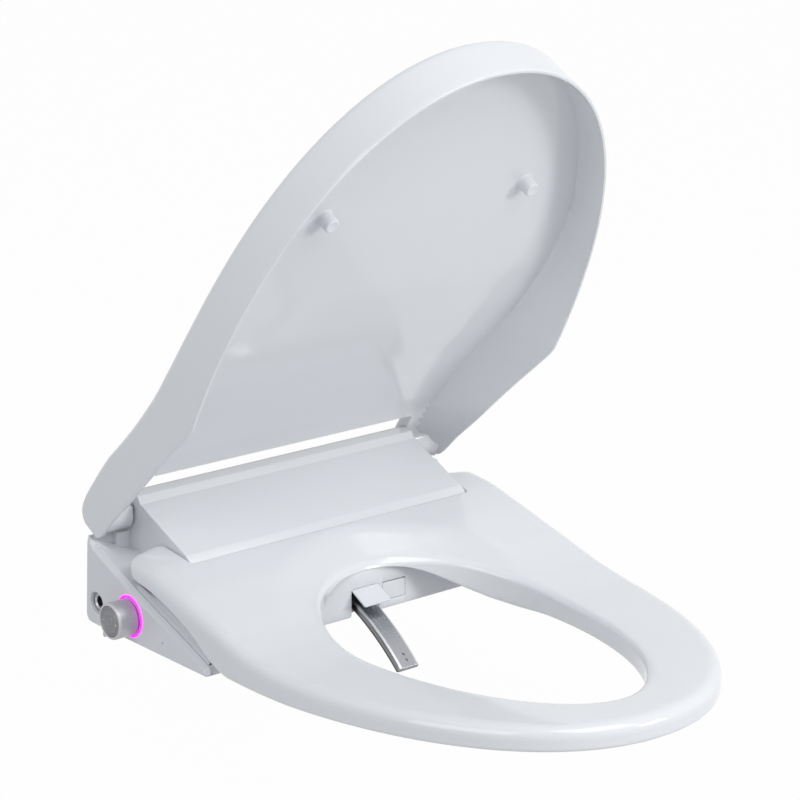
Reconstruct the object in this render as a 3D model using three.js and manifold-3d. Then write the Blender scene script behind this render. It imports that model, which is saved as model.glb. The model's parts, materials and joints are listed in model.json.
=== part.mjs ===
// Electric bidet seat with its lid part-open and its wash nozzle out.
// Millimetres. +Z is up, +Y is towards the back, and the hinge line of the lid is above the X axis.
// The origin is on the flat face that is bolted down to the bowl.
import * as THREE from 'three';
import { ConvexGeometry } from 'three/addons/geometries/ConvexGeometry.js';
import { mergeVertices } from 'three/addons/utils/BufferGeometryUtils.js';
import Module from 'manifold-3d';

const wasm = await Module();
wasm.setup();

// ---- clearances -------------------------------------------------------------------------------
const gap = 0.3; // between pieces that rest on each other
const runningGap = 0.6; // round pins, shafts and flaps
const swingGap = 1; // beside and behind the seat and the lid
const overcut = 5; // how far a cutting block reaches past the face that it cuts

// ---- seat -------------------------------------------------------------------------------------
const seatHalfWidth = 188;
const seatNoseY = -480.6;
const seatWidestY = -178;
const seatOvalPower = 2.1;
const seatUnderside = 5.5;
const seatFrontTop = 26;
const seatWall = 3;
const seatBaseThickness = 2.5;
const seatHeaterThickness = 0.8;
const seatRiseStartY = -250; // the top is level in front of this and rises behind it
const seatRiseLowPullY = -190;
const seatRiseLowPull = 4;
const seatRiseHighPullY = -130;
const seatRiseHighPull = 60;
const seatUnderStartY = -185; // the underside is flat in front of this
const seatUnderLowPullY = -150;
const seatUnderHighPullY = -125;
const seatUnderHighPull = 52;
const seatHingeY = -60;
const seatEarTop = 71.7;
const seatEarUnderside = 55;
const ringSideWidth = 83.6;
const ringFrontWidth = 47.4;
const holeHalfWidth = seatHalfWidth - ringSideWidth;
const holeNoseY = seatNoseY + ringFrontWidth;
const holeWidestY = -237.2;
const holeRearY = -122;
const holeOvalPower = 1.93;
const holeRearEdgeTop = 40;
const holeFrontEdgeTop = 22;
const holeSlopeWidth = 30;
const holeRiseY = -218; // the edge of the opening rises behind this
const holeEdgeDip = 1; // what the slope falls further, just inside the opening
const seatBumperRadius = 9;
const frontBumperFromSide = 93;
const frontBumperFromNose = 90.6;
const rearBumperFromSide = 46;
const seatBumperFrontX = seatHalfWidth - frontBumperFromSide;
const seatBumperFrontY = seatNoseY + frontBumperFromNose;
const seatBumperRearX = seatHalfWidth - rearBumperFromSide;
const seatBumperRearY = -215;

// ---- base -------------------------------------------------------------------------------------
const baseRearY = 14;
const frontWallY = -121.5;
const frontWallThickness = 2.5;
const earFrontY = -153;
const earSlopeLowZ = 3;
const earSlopeHighZ = 80;
const earSlopeHighY = 8;
const panelThickness = 2.7;
const panelCorner = 7;
const caseWall = 2.5;
const floorThickness = 2.5;
const trayRimHeight = 9;
const deckGap = 1.5;
const ledgeDrop = 1.5;
const ledgeThickness = 5.5;
const knucklePocketRadius = 20;
const chamferReach = 60;
const partitionOpening = 30;
const seatEarWidth = 41;
const housingHalfWidth = seatHalfWidth - seatEarWidth;
const housingRearTop = 92;
const coverFrontY = -80;
const coverFrontTop = 67.7;
const coverBackY = -10.2;
const coverBackTop = 99.3;
const ridgeFrontY = -6;
const ridgeTop = 106.1;
const ridgeBackY = 3;
const ridgeFall = 2; // from the ridge to the middle of the rounded back edge
const coverThickness = 3;
const coverSeatWidth = 6;

// ---- plate that is bolted to the bowl ---------------------------------------------------------
const plateHalfWidth = 95;
const plateFrontY = -52;
const plateRearY = 5;
const plateThickness = 4;
const plateSlotX = 77.5;
const plateSlotWidth = 9;
const plateSlotLength = 30;

// ---- lid, drawn level and then swung open -----------------------------------------------------
const lidAngle = 61.25;
const lidHingeZ = 94.3;
const lidOverhang = 4.7;
const lidSideGap = 0.6;
const lidWall = 2.2;
const lidTopThickness = 3;
const lidRimZ = 18.4;
const lidRimKinkY = -164;
const lidRimRearZ = 79.4;
const lidFrontTop = 61.5;
const lidHingeTop = 113;
const lidTopHighPull = 86;
const lidRearEdgeY = -24.5;
const lidInnerFront = 50;
const lidInnerRear = 102;
const lidInnerHighPull = 76;
const lidLinerThickness = 2.5;
const knuckleRadius = 16;
const lidBumperFromSide = 85.7;
const lidBumperFromNose = 143.6;
const lidBumperX = seatHalfWidth - lidBumperFromSide;
const lidBumperY = seatNoseY + lidBumperFromNose;
const lidBumperRadius = 6.5;
const lidBumperEnd = 32.3;

// ---- hinge pins and dampers -------------------------------------------------------------------
const pinRadius = 4;
const pinReach = 22;
const pinInside = 12;
const lidDamperRadius = 6;
const seatDamperRadius = 6;
const damperLength = 40;

// ---- wash nozzle, which runs on an arc --------------------------------------------------------
const nozzleX = 1.3;
const nozzleWidth = 21;
const nozzleArcY = -28;
const nozzleTopZ = 31; // the highest point of the curve
const nozzleOuterRadius = 221;
const nozzleThickness = 8;
const nozzleTipY = -179.3;
const nozzleRootY = -83.3;
const nozzleTravel = 71.4; // along the curve
const sleeveWall = 1;
const jetRadius = 1.1;
const jetPlaces = [-170.9, -175];
const guideWall = 2;
const guideFloorThickness = 2;
const guideFrontY = -116.1;
const guideSpare = 4; // behind the nozzle when it is in
const guideLegWidth = 6;
const guideFrontLegY = -104;
const guideRearLegY = -9;
const driveGearRadius = 5;
const driveGearTeeth = 16;
const driveToothDepth = 0.9;
const driveGearWidth = 8;
const driveGearY = -85.25;
const driveShaftRadius = 1.5;
const motorRadius = 6.7;
const motorLength = 20;

// ---- openings and flaps in the front wall -----------------------------------------------------
const doorTop = 24.6;
const doorHalfWidth = 14.7;
const flapThickness = 1.6;
const nozzleFlapHeight = 19.8;
const nozzleFlapAngle = 62;
const dryerX = 32;
const dryerHalfWidth = 12.7;
const dryerTop = 23;
const dryerBottom = 6.9;

// ---- side knob, light ring and water inlet ----------------------------------------------------
const knobY = -51.5;
const knobZ = 22.8;
const knobRadius = 15.5;
const knobLength = 18.6;
const knobStandOff = 2.1;
const knobCapRadius = 12.6;
const knobCapThickness = 1.2;
const knobTabAngle = -58;
const knobTabReach = 2.6;
const knobTabWidth = 4;
const knobShaftRadius = 3;
const knobSocketDepth = 12;
const encoderSize = 14;
const encoderDepth = 8;
const encoderInset = 1.5;
const lightRingOuter = 18.3;
const lightRingInner = 16;
const lightRingHeight = 1.1;
const inletY = -2.5;
const inletZ = 20.5;
const inletPortRadius = 9.2;
const inletRadius = 8.4;
const inletBore = 5;
const inletInset = 2.5;
const inletLength = 30;
const inletEndWall = 2.5;
const glandFlangeRadius = 8;
const glandFlangeThickness = 2;
const glandRadius = 6;
const glandBore = 3.6;
const glandReach = 9;
const glandInside = 10;

// ---- modules inside the base ------------------------------------------------------------------
const valveWidth = 26;
const valveDepth = 22;
const valveHeight = 25;
const heaterY = -98;
const heaterWidth = 56;
const heaterDepth = 34;
const heaterHeight = 27;
const pumpFromSide = 64;
const pumpX = pumpFromSide - seatHalfWidth;
const pumpY = -88;
const pumpRadius = 13;
const pumpLength = 30;
const fanFromSide = 94;
const fanX = seatHalfWidth - fanFromSide;
const fanY = -90;
const fanRadius = 25;
const fanHeight = 26;
const fanWall = 2;
const fanInletRadius = 15;
const fanWheelRadius = 20;
const fanWheelHeight = 16;
const fanBlades = 12;
const fanBladeLength = 11;
const fanBladeThickness = 1;
const fanBladeTilt = 23;
const fanDiscThickness = 1.5;
const fanHubRadius = 6;
const ductWall = 1.5;
const ductDepth = 16;
const powerPastPlate = 5; // its middle, beyond the end of the plate
const powerX = plateHalfWidth + powerPastPlate;
const powerY = -22;
const powerWidth = 44;
const powerDepth = 36;
const powerHeight = 34;
const boardX = -30;
const boardWidth = 110;
const boardHeight = 46;
const boardThickness = 1.6;
const boardBottom = 27;

// ---- geometry helpers -------------------------------------------------------------------------
const toRadians = THREE.MathUtils.degToRad;
const seatHingeZ = (seatEarTop + seatEarUnderside) / 2;
const seatEarRadius = (seatEarTop - seatEarUnderside) / 2;
const farZ = 300; // beyond every piece
const riseSteps = 14;
const ovalSteps = 44;
const holeSteps = 26;
const cornerSteps = 4;
const arcSteps = 16;
const earSteps = 10;
const smallRound = 16;
const middleRound = 24;
const largeRound = 40;

function point(y, z) {
  return new THREE.Vector2(y, z);
}

function solid(geometry) {
  const bare = geometry.clone();
  bare.deleteAttribute('normal');
  bare.deleteAttribute('uv');
  const merged = mergeVertices(bare, 1e-4);
  return new wasm.Manifold(new wasm.Mesh({
    numProp: 3,
    vertProperties: new Float32Array(merged.attributes.position.array),
    triVerts: new Uint32Array(merged.index.array),
  }));
}

function geometryOf(body) {
  const mesh = body.getMesh();
  const geometry = new THREE.BufferGeometry();
  geometry.setAttribute('position', new THREE.Float32BufferAttribute(mesh.vertProperties, 3));
  geometry.setIndex(new THREE.Uint32BufferAttribute(mesh.triVerts, 1));
  geometry.computeVertexNormals();
  return geometry;
}

function joined(...bodies) {
  return bodies.reduce((whole, body) => whole.add(body));
}

function cut(body, ...tools) {
  return tools.reduce((rest, tool) => rest.subtract(tool), body);
}

function block(x0, x1, y0, y1, z0, z1) {
  const geometry = new THREE.BoxGeometry(x1 - x0, y1 - y0, z1 - z0);
  geometry.translate((x0 + x1) / 2, (y0 + y1) / 2, (z0 + z1) / 2);
  return solid(geometry);
}

// A block that stands on z0, with its middle above (x, y).
function standingBlock(x, y, z0, width, depth, height) {
  return block(x - width / 2, x + width / 2, y - depth / 2, y + depth / 2, z0, z0 + height);
}

// A round bar along X.
function barX(x0, x1, y, z, radius, sides = middleRound) {
  const geometry = new THREE.CylinderGeometry(radius, radius, Math.abs(x1 - x0), sides);
  geometry.rotateZ(Math.PI / 2);
  geometry.translate((x0 + x1) / 2, y, z);
  return solid(geometry);
}

// A round bar along Z.
function barZ(x, y, z0, z1, radius, sides = middleRound) {
  const geometry = new THREE.CylinderGeometry(radius, radius, z1 - z0, sides);
  geometry.rotateX(Math.PI / 2);
  geometry.translate(x, y, (z0 + z1) / 2);
  return solid(geometry);
}

// An outline in the XY plane, made as tall as z0 to z1.
function planBody(points, z0, z1) {
  const settings = { depth: z1 - z0, bevelEnabled: false };
  const geometry = new THREE.ExtrudeGeometry(new THREE.Shape(points), settings);
  geometry.translate(0, 0, z0);
  return solid(geometry);
}

// A side outline, whose points are (y, z), made as wide as x0 to x1.
function sideBody(points, x0, x1) {
  const settings = { depth: x1 - x0, bevelEnabled: false };
  const geometry = new THREE.ExtrudeGeometry(new THREE.Shape(points), settings);
  const axes = new THREE.Matrix4().makeBasis(
    new THREE.Vector3(0, 1, 0),
    new THREE.Vector3(0, 0, 1),
    new THREE.Vector3(1, 0, 0),
  );
  geometry.applyMatrix4(axes);
  geometry.translate(x0, 0, 0);
  return solid(geometry);
}

// The same body on both sides of the middle plane.
function bothSides(makeSide) {
  return joined(makeSide(-1), makeSide(1));
}

function spanX(side, inner, outer) {
  return side < 0 ? [-outer, -inner] : [inner, outer];
}

// Half of an oval, from +X round the nose (forward) or the back (rearward) to -X.
function ovalPoints(halfWidth, centreY, endY, power, steps) {
  const points = [];
  for (let i = 0; i <= steps; i += 1) {
    const turn = (Math.PI * i) / steps;
    const across = Math.sign(Math.cos(turn)) * Math.abs(Math.cos(turn)) ** (2 / power);
    const along = Math.abs(Math.sin(turn)) ** (2 / power);
    points.push(point(halfWidth * across, centreY + (endY - centreY) * along));
  }
  return points;
}

function arcPoints(centreY, centreZ, radius, fromDegrees, toDegrees, steps) {
  const points = [];
  for (let i = 0; i <= steps; i += 1) {
    const turn = toRadians(fromDegrees + ((toDegrees - fromDegrees) * i) / steps);
    points.push(point(centreY + radius * Math.cos(turn), centreZ + radius * Math.sin(turn)));
  }
  return points;
}

function curvePoints(start, startPull, endPull, end, steps) {
  return new THREE.CubicBezierCurve(start, startPull, endPull, end).getPoints(steps);
}

function lowered(points, drop) {
  return points.map((p) => point(p.x, p.y - drop));
}

// The height of a line of (y, z) points, which runs from front to back, at one y.
function heightAt(points, y) {
  for (let i = 1; i < points.length; i += 1) {
    if (y <= points[i].x) {
      const share = (y - points[i - 1].x) / (points[i].x - points[i - 1].x);
      return points[i - 1].y + share * (points[i].y - points[i - 1].y);
    }
  }
  return points[points.length - 1].y;
}

// A closed ring that joins one cross-section to the next all the way round.
function ringBody(sections) {
  const positions = [];
  const corners = sections[0].length;
  for (const section of sections) {
    for (const corner of section) {
      positions.push(corner.x, corner.y, corner.z);
    }
  }
  const triangles = [];
  for (let i = 0; i < sections.length; i += 1) {
    const next = (i + 1) % sections.length;
    for (let j = 0; j < corners; j += 1) {
      const after = (j + 1) % corners;
      const a = i * corners + j;
      const b = next * corners + j;
      const c = next * corners + after;
      const d = i * corners + after;
      triangles.push(a, c, b, a, d, c);
    }
  }
  const geometry = new THREE.BufferGeometry();
  geometry.setAttribute('position', new THREE.Float32BufferAttribute(positions, 3));
  geometry.setIndex(triangles);
  return solid(geometry);
}

const model = new THREE.Group();

function addPiece(parent, name, body, finish) {
  const material = new THREE.MeshStandardMaterial(finish);
  const mesh = new THREE.Mesh(geometryOf(body), material);
  mesh.name = name;
  parent.add(mesh);
}

const whiteGloss = { color: 0xdfe2e6, roughness: 0.18, metalness: 0 };
const whiteSatin = { color: 0xd9dce1, roughness: 0.35, metalness: 0 };
const softWhite = { color: 0xe6e7ea, roughness: 0.7, metalness: 0 };
const greyPlastic = { color: 0x9a9ca1, roughness: 0.6, metalness: 0 };
const darkPlastic = { color: 0x2f3136, roughness: 0.6, metalness: 0 };
const steel = { color: 0xb4b6ba, roughness: 0.25, metalness: 1 };
const knobMetal = { color: 0x8f9196, roughness: 0.38, metalness: 0.8 };
const brassMetal = { color: 0xb58a3f, roughness: 0.4, metalness: 1 };
const boardGreen = { color: 0x1f5b3a, roughness: 0.6, metalness: 0 };
const foil = { color: 0xa9792f, roughness: 0.5, metalness: 0.2 };
const magentaLight = { color: 0xff22ee, roughness: 0.4, metalness: 0, emissive: 0xff22ee };

// ---- lines that the seat, the base and the lid share ------------------------------------------
const seatTopRise = curvePoints(
  point(seatRiseStartY, seatFrontTop),
  point(seatRiseLowPullY, seatFrontTop + seatRiseLowPull),
  point(seatRiseHighPullY, seatRiseHighPull),
  point(seatHingeY, seatEarTop),
  riseSteps,
);
const seatTopLine = [point(seatNoseY - overcut, seatFrontTop), ...seatTopRise];
const seatUnderRise = curvePoints(
  point(seatUnderStartY, seatUnderside),
  point(seatUnderLowPullY, seatUnderside),
  point(seatUnderHighPullY, seatUnderHighPull),
  point(seatHingeY, seatEarUnderside),
  riseSteps,
);
const seatUnderLine = [point(seatNoseY - overcut, seatUnderside), ...seatUnderRise];

// ---- seat -------------------------------------------------------------------------------------
function seatPlan(inset) {
  const halfWidth = seatHalfWidth - inset;
  const notch = housingHalfWidth + swingGap + inset;
  const earEnd = seatHingeY + seatEarRadius + overcut;
  return [
    ...ovalPoints(halfWidth, seatWidestY, seatNoseY + inset, seatOvalPower, ovalSteps),
    point(-halfWidth, earEnd),
    point(-notch, earEnd),
    point(-notch, coverFrontY - swingGap - inset),
    point(notch, coverFrontY - swingGap - inset),
    point(notch, earEnd),
    point(halfWidth, earEnd),
  ];
}

function holePlan(outset) {
  const halfWidth = holeHalfWidth + outset;
  const front = ovalPoints(halfWidth, holeWidestY, holeNoseY - outset, holeOvalPower, holeSteps);
  const rear = ovalPoints(halfWidth, holeWidestY, holeRearY + outset, holeOvalPower, holeSteps).reverse();
  return [...front, ...rear.slice(1, -1)];
}

function seatSide(drop, lift, earInset) {
  const ear = arcPoints(seatHingeY, seatHingeZ, seatEarRadius - earInset, 90, -90, earSteps);
  const under = lowered(seatUnderLine, -lift).reverse();
  return [...lowered(seatTopLine, drop), ...ear.slice(1, -1), ...under];
}

// The slope that leads from the top of the ring down into the hole, lowered by drop.
function holeSlope(drop) {
  const inner = holePlan(-overcut);
  const edge = holePlan(0);
  const outer = holePlan(holeSlopeWidth);
  const sections = edge.map((rim, i) => {
    const share = THREE.MathUtils.smoothstep(rim.y, holeRiseY, holeRearY);
    const edgeTop = holeFrontEdgeTop + (holeRearEdgeTop - holeFrontEdgeTop) * share - drop;
    const fadeY = Math.min(outer[i].y, coverFrontY - swingGap - seatWall);
    const crest = heightAt(seatTopLine, fadeY) - drop;
    return [
      new THREE.Vector3(inner[i].x, inner[i].y, edgeTop - holeEdgeDip),
      new THREE.Vector3(outer[i].x, fadeY, crest),
      new THREE.Vector3(outer[i].x, fadeY, crest + farZ),
      new THREE.Vector3(inner[i].x, inner[i].y, crest + farZ),
    ];
  });
  return ringBody(sections);
}

function seatSolid(inset, drop, lift, earInset) {
  const ring = cut(planBody(seatPlan(inset), -farZ, farZ), planBody(holePlan(inset), -farZ, farZ));
  const side = sideBody(seatSide(drop, lift, earInset), -farZ, farZ);
  return cut(ring.intersect(side), holeSlope(drop));
}

function pinBore(side, y, z) {
  const [x0, x1] = spanX(side, housingHalfWidth, housingHalfWidth + pinReach + gap);
  return barX(x0, x1, y, z, pinRadius + runningGap, smallRound);
}

const earBlocks = bothSides((side) => {
  const [x0, x1] = spanX(side, housingHalfWidth, seatHalfWidth);
  return block(x0, x1, coverFrontY - swingGap - seatWall, 0, seatEarUnderside - overcut, farZ);
});
const seatOuter = seatSolid(0, 0, 0, 0);
const seatCavity = cut(seatSolid(seatWall, seatWall, -overcut, seatWall), earBlocks);
const seatPinBores = bothSides((side) => pinBore(side, seatHingeY, seatHingeZ));
const seatTopShell = cut(seatOuter, seatCavity, seatPinBores);

const baseCap = cut(
  planBody(seatPlan(seatWall + gap), -farZ, farZ),
  planBody(holePlan(seatWall + gap), -farZ, farZ),
  earBlocks,
);
const baseCapSide = [
  ...lowered(seatUnderLine, -seatBaseThickness),
  ...lowered(seatUnderLine, 0).reverse(),
];
const seatBottomShell = baseCap.intersect(sideBody(baseCapSide, -farZ, farZ));

const heaterDrop = seatWall + gap;
const heaterSheet = cut(
  seatSolid(heaterDrop, heaterDrop, -overcut, heaterDrop),
  seatSolid(0, heaterDrop + seatHeaterThickness, -2 * overcut, 0),
  earBlocks,
);

const seat = new THREE.Group();
model.add(seat);
addPiece(seat, 'seat_top_shell', seatTopShell, whiteGloss);
addPiece(seat, 'seat_bottom_shell', seatBottomShell, whiteSatin);
addPiece(seat, 'seat_heater', heaterSheet, foil);
for (const [side, label] of [[-1, 'left'], [1, 'right']]) {
  const bumpers = [
    ['front', seatBumperFrontX, seatBumperFrontY],
    ['rear', seatBumperRearX, seatBumperRearY],
  ];
  for (const [place, x, y] of bumpers) {
    const bumper = barZ(side * x, y, 0, seatUnderside - gap, seatBumperRadius);
    addPiece(seat, `seat_bumper_${place}_${label}`, bumper, softWhite);
  }
}

// ---- base: tray, case, side panels, front wall and cover --------------------------------------
const caseHalfWidth = seatHalfWidth - panelThickness - gap;
const caseBottom = trayRimHeight + gap;
const earSlope = (earSlopeHighZ - earSlopeLowZ) / (earSlopeHighY - earFrontY);

function earEdgeZ(y) {
  return earSlopeLowZ + earSlope * (y - earFrontY);
}

function deckPoints(fromY, toY, drop) {
  const level = deckGap + drop;
  const between = seatUnderRise.filter((p) => p.x > fromY + gap && p.x < toY - gap);
  return [
    point(fromY, heightAt(seatUnderLine, fromY) - level),
    ...lowered(between, level),
    point(toY, heightAt(seatUnderLine, toY) - level),
  ];
}

// The corner between the slanted outer edge of an ear and its deck, cut at 45 degrees.
function earChamfer(side, depth) {
  const corners = [];
  for (const y of [earFrontY - 2 * overcut, baseRearY + 2 * overcut]) {
    const edge = earEdgeZ(y) - depth;
    for (const [x, z] of [[-1, -1], [1, 1], [-1, 1]]) {
      const across = caseHalfWidth - x * chamferReach;
      corners.push(new THREE.Vector3(side * across, y, edge + z * chamferReach));
    }
  }
  return solid(new ConvexGeometry(corners));
}

function earSide(inset, ledgeInset, bottom) {
  const ledgeFrontY = seatHingeY + seatEarRadius + swingGap;
  return [
    point(earFrontY + inset, bottom),
    ...deckPoints(earFrontY + inset, seatHingeY, inset),
    point(ledgeFrontY, earEdgeZ(ledgeFrontY) - ledgeDrop - ledgeInset),
    point(earSlopeHighY - inset, earSlopeHighZ - ledgeDrop - ledgeInset),
    point(baseRearY - inset, earEdgeZ(2 * earSlopeHighY - baseRearY) - ledgeDrop - ledgeInset),
    point(baseRearY - inset, bottom),
  ];
}

const coverTopLine = [
  point(coverFrontY, coverFrontTop),
  point(coverBackY, coverBackTop),
  point(ridgeFrontY, ridgeTop),
  point(ridgeBackY, ridgeTop),
];

function housingSide(inset, bottom, frontY) {
  const roof = lowered(coverTopLine, coverThickness + gap + inset);
  const ridgeEnd = ridgeBackY + gap;
  roof[0] = point(coverFrontY + inset, heightAt(roof, coverFrontY + inset));
  return [
    point(frontY, bottom),
    ...deckPoints(frontY, coverFrontY + inset, inset),
    ...roof.slice(0, -1),
    point(ridgeEnd, roof[roof.length - 1].y),
    point(ridgeEnd, ridgeTop - inset),
    point((ridgeEnd + baseRearY) / 2, ridgeTop - ridgeFall - inset),
    point(baseRearY - inset, housingRearTop - inset),
    point(baseRearY - inset, bottom),
  ];
}

function caseEar(side) {
  const [x0, x1] = spanX(side, housingHalfWidth - caseWall, caseHalfWidth);
  const [hollowX0, hollowX1] = spanX(side, housingHalfWidth, caseHalfWidth - caseWall);
  const outer = cut(sideBody(earSide(0, 0, caseBottom), x0, x1), earChamfer(side, 0));
  const hollow = sideBody(earSide(caseWall, ledgeThickness, 0), hollowX0, hollowX1);
  return cut(outer, cut(hollow, earChamfer(side, caseWall * Math.SQRT2)));
}

function wallHole(side, y, z, radius) {
  const [x0, x1] = spanX(side, caseHalfWidth - caseWall - overcut, seatHalfWidth + overcut);
  return barX(x0, x1, y, z, radius);
}

const encoderHoleSize = encoderSize + 2 * gap;
const encoderHole = standingBlock(
  overcut - caseHalfWidth, knobY, knobZ - encoderHoleSize / 2, 2 * overcut, encoderHoleSize, encoderHoleSize,
);

const housingOuter = sideBody(housingSide(0, caseBottom, frontWallY), -housingHalfWidth, housingHalfWidth);
const housingInnerX = housingHalfWidth - caseWall;
const housingHollowSide = housingSide(caseWall, 0, frontWallY - overcut);
const housingHollow = sideBody(housingHollowSide, -housingInnerX, housingInnerX);
const coverOpeningX = housingHalfWidth - coverSeatWidth;
const coverOpening = block(
  -coverOpeningX, coverOpeningX,
  coverFrontY + coverSeatWidth, ridgeBackY - gap,
  coverFrontTop - 2 * overcut, farZ,
);
const partitionCut = bothSides((side) => {
  const [x0, x1] = spanX(side, housingInnerX - overcut, housingHalfWidth + overcut);
  return block(x0, x1, heaterY, baseRearY - caseWall, 0, partitionOpening);
});
const knucklePockets = bothSides((side) => {
  const [x0, x1] = spanX(side, housingHalfWidth, seatHalfWidth);
  return barX(x0, x1, 0, lidHingeZ, knucklePocketRadius, largeRound);
});
const pinHoleX = housingHalfWidth + overcut;
const pinHoles = joined(
  barX(-pinHoleX, pinHoleX, 0, lidHingeZ, pinRadius + gap, smallRound),
  barX(-pinHoleX, pinHoleX, seatHingeY, seatHingeZ, pinRadius + gap, smallRound),
);
const inletHole = wallHole(-1, inletY, inletZ, inletPortRadius);
const glandHole = wallHole(1, inletY, inletZ, glandRadius + gap);
const upperCase = cut(
  joined(cut(housingOuter, housingHollow), caseEar(-1), caseEar(1)),
  coverOpening,
  partitionCut,
  knucklePockets,
  pinHoles,
  inletHole,
  glandHole,
  encoderHole,
);

function sidePanel(side) {
  const [x0, x1] = spanX(side, seatHalfWidth - panelThickness, seatHalfWidth);
  const rearTop = earEdgeZ(baseRearY - panelCorner);
  const outline = [
    point(earFrontY, earSlopeLowZ),
    point(baseRearY - panelCorner, rearTop),
    ...arcPoints(baseRearY - panelCorner, rearTop - panelCorner, panelCorner, 70, 0, cornerSteps),
    ...arcPoints(baseRearY - panelCorner, panelCorner, panelCorner, 0, -90, cornerSteps),
    point(earFrontY + panelCorner, 0),
  ];
  return sideBody(outline, x0, x1);
}

const knobHoleRadius = knobShaftRadius + runningGap;
const knobHole = barX(-seatHalfWidth - overcut, -caseHalfWidth + overcut, knobY, knobZ, knobHoleRadius);
const leftPanel = cut(sidePanel(-1), inletHole, knobHole);
const rightPanel = cut(sidePanel(1), glandHole);

function trayPlan(inset) {
  const outerX = caseHalfWidth - inset;
  const notchX = housingHalfWidth + inset;
  const notchY = frontWallY + frontWallThickness + gap;
  return [
    point(outerX, earFrontY + inset),
    point(outerX, baseRearY - inset),
    point(-outerX, baseRearY - inset),
    point(-outerX, earFrontY + inset),
    point(-notchX, earFrontY + inset),
    point(-notchX, notchY),
    point(notchX, notchY),
    point(notchX, earFrontY + inset),
  ];
}

const pocketRoof = plateThickness + gap + floorThickness;
const pocketX = plateHalfWidth + gap;
const nozzleDoor = block(
  nozzleX - doorHalfWidth, nozzleX + doorHalfWidth,
  frontWallY - overcut, frontWallY + 2 * overcut,
  -overcut, doorTop,
);
const baseTray = cut(
  joined(
    cut(planBody(trayPlan(0), 0, trayRimHeight), planBody(trayPlan(caseWall), floorThickness, farZ)),
    block(
      -pocketX - floorThickness, pocketX + floorThickness,
      plateFrontY - gap - floorThickness, plateRearY + gap + floorThickness, 0, pocketRoof,
    ),
  ),
  block(-pocketX, pocketX, plateFrontY - gap, plateRearY + gap, -overcut, plateThickness + gap),
  nozzleDoor,
  inletHole,
  encoderHole,
);

const frontWallTop = heightAt(seatUnderLine, frontWallY) - deckGap - caseWall - gap;
const dryerWindow = block(
  dryerX - dryerHalfWidth - runningGap, dryerX + dryerHalfWidth + runningGap,
  frontWallY - overcut, frontWallY + overcut, dryerBottom - runningGap, dryerTop + runningGap,
);
const frontWallX = housingInnerX - gap;
const frontWall = cut(
  block(-frontWallX, frontWallX, frontWallY, frontWallY + frontWallThickness, 0, frontWallTop),
  nozzleDoor,
  dryerWindow,
);

const coverX = housingHalfWidth - gap;
const coverSide = [...coverTopLine, ...lowered(coverTopLine, coverThickness).reverse()];
const centreCover = sideBody(coverSide, -coverX, coverX);

function plateSlot(side) {
  const x = side * plateSlotX;
  const y = (plateFrontY + plateRearY) / 2;
  const reach = (plateSlotLength - plateSlotWidth) / 2;
  const half = plateSlotWidth / 2;
  return joined(
    block(x - half, x + half, y - reach, y + reach, -overcut, farZ),
    barZ(x, y - reach, -overcut, farZ, half, smallRound),
    barZ(x, y + reach, -overcut, farZ, half, smallRound),
  );
}

const mountingPlate = cut(
  block(-plateHalfWidth, plateHalfWidth, plateFrontY, plateRearY, 0, plateThickness),
  plateSlot(-1),
  plateSlot(1),
);

addPiece(model, 'mounting_plate', mountingPlate, greyPlastic);
addPiece(model, 'base_tray', baseTray, whiteSatin);
addPiece(model, 'upper_case', upperCase, whiteGloss);
addPiece(model, 'front_wall', frontWall, whiteSatin);
addPiece(model, 'centre_cover', centreCover, whiteGloss);
addPiece(model, 'side_panel_left', leftPanel, whiteSatin);
addPiece(model, 'side_panel_right', rightPanel, whiteSatin);

// ---- hinge pins and dampers -------------------------------------------------------------------
const pinInnerX = housingHalfWidth - pinInside;
for (const [side, label] of [[-1, 'left'], [1, 'right']]) {
  const [x0, x1] = spanX(side, pinInnerX, housingHalfWidth + pinReach);
  addPiece(model, `lid_pin_${label}`, barX(x0, x1, 0, lidHingeZ, pinRadius, smallRound), steel);
  addPiece(model, `seat_pin_${label}`, barX(x0, x1, seatHingeY, seatHingeZ, pinRadius, smallRound), steel);
}
const damperOuterX = pinInnerX - gap;
const damperInnerX = damperOuterX - damperLength;
const lidDamper = barX(damperInnerX, damperOuterX, 0, lidHingeZ, lidDamperRadius);
const seatDamper = barX(-damperOuterX, -damperInnerX, seatHingeY, seatHingeZ, seatDamperRadius);
addPiece(model, 'lid_damper', lidDamper, darkPlastic);
addPiece(model, 'seat_damper', seatDamper, darkPlastic);

// ---- lid: drawn level, then turned about its hinge ---------------------------------------------
const lidTurn = new THREE.Group();
lidTurn.position.z = lidHingeZ;
lidTurn.rotation.x = -toRadians(lidAngle);
const lid = new THREE.Group();
lid.position.z = -lidHingeZ;
lidTurn.add(lid);
model.add(lidTurn);

const lidHalfWidth = seatHalfWidth + lidSideGap + lidWall;
const lidNoseY = seatNoseY - lidOverhang;
const lidEarX = housingHalfWidth + swingGap;
const lidEarRadius = lidHingeTop - lidHingeZ;
const lidRimSlope = (lidRimRearZ - lidRimZ) / -lidRimKinkY;
const lidTopLine = [
  point(lidNoseY - overcut, lidFrontTop),
  ...curvePoints(
    point(seatRiseStartY, lidFrontTop),
    point(seatRiseLowPullY, lidFrontTop),
    point(seatRiseHighPullY, lidTopHighPull),
    point(0, lidHingeTop),
    riseSteps,
  ),
];
const lidInnerLine = [
  point(lidNoseY - overcut, lidInnerFront),
  ...curvePoints(
    point(seatRiseStartY, lidInnerFront),
    point(seatRiseLowPullY, lidInnerFront),
    point(seatRiseHighPullY, lidInnerHighPull),
    point(lidRearEdgeY, lidInnerRear),
    riseSteps,
  ),
];

function lidFront(inset) {
  return ovalPoints(lidHalfWidth - inset, seatWidestY, lidNoseY + inset, seatOvalPower, ovalSteps);
}

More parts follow.
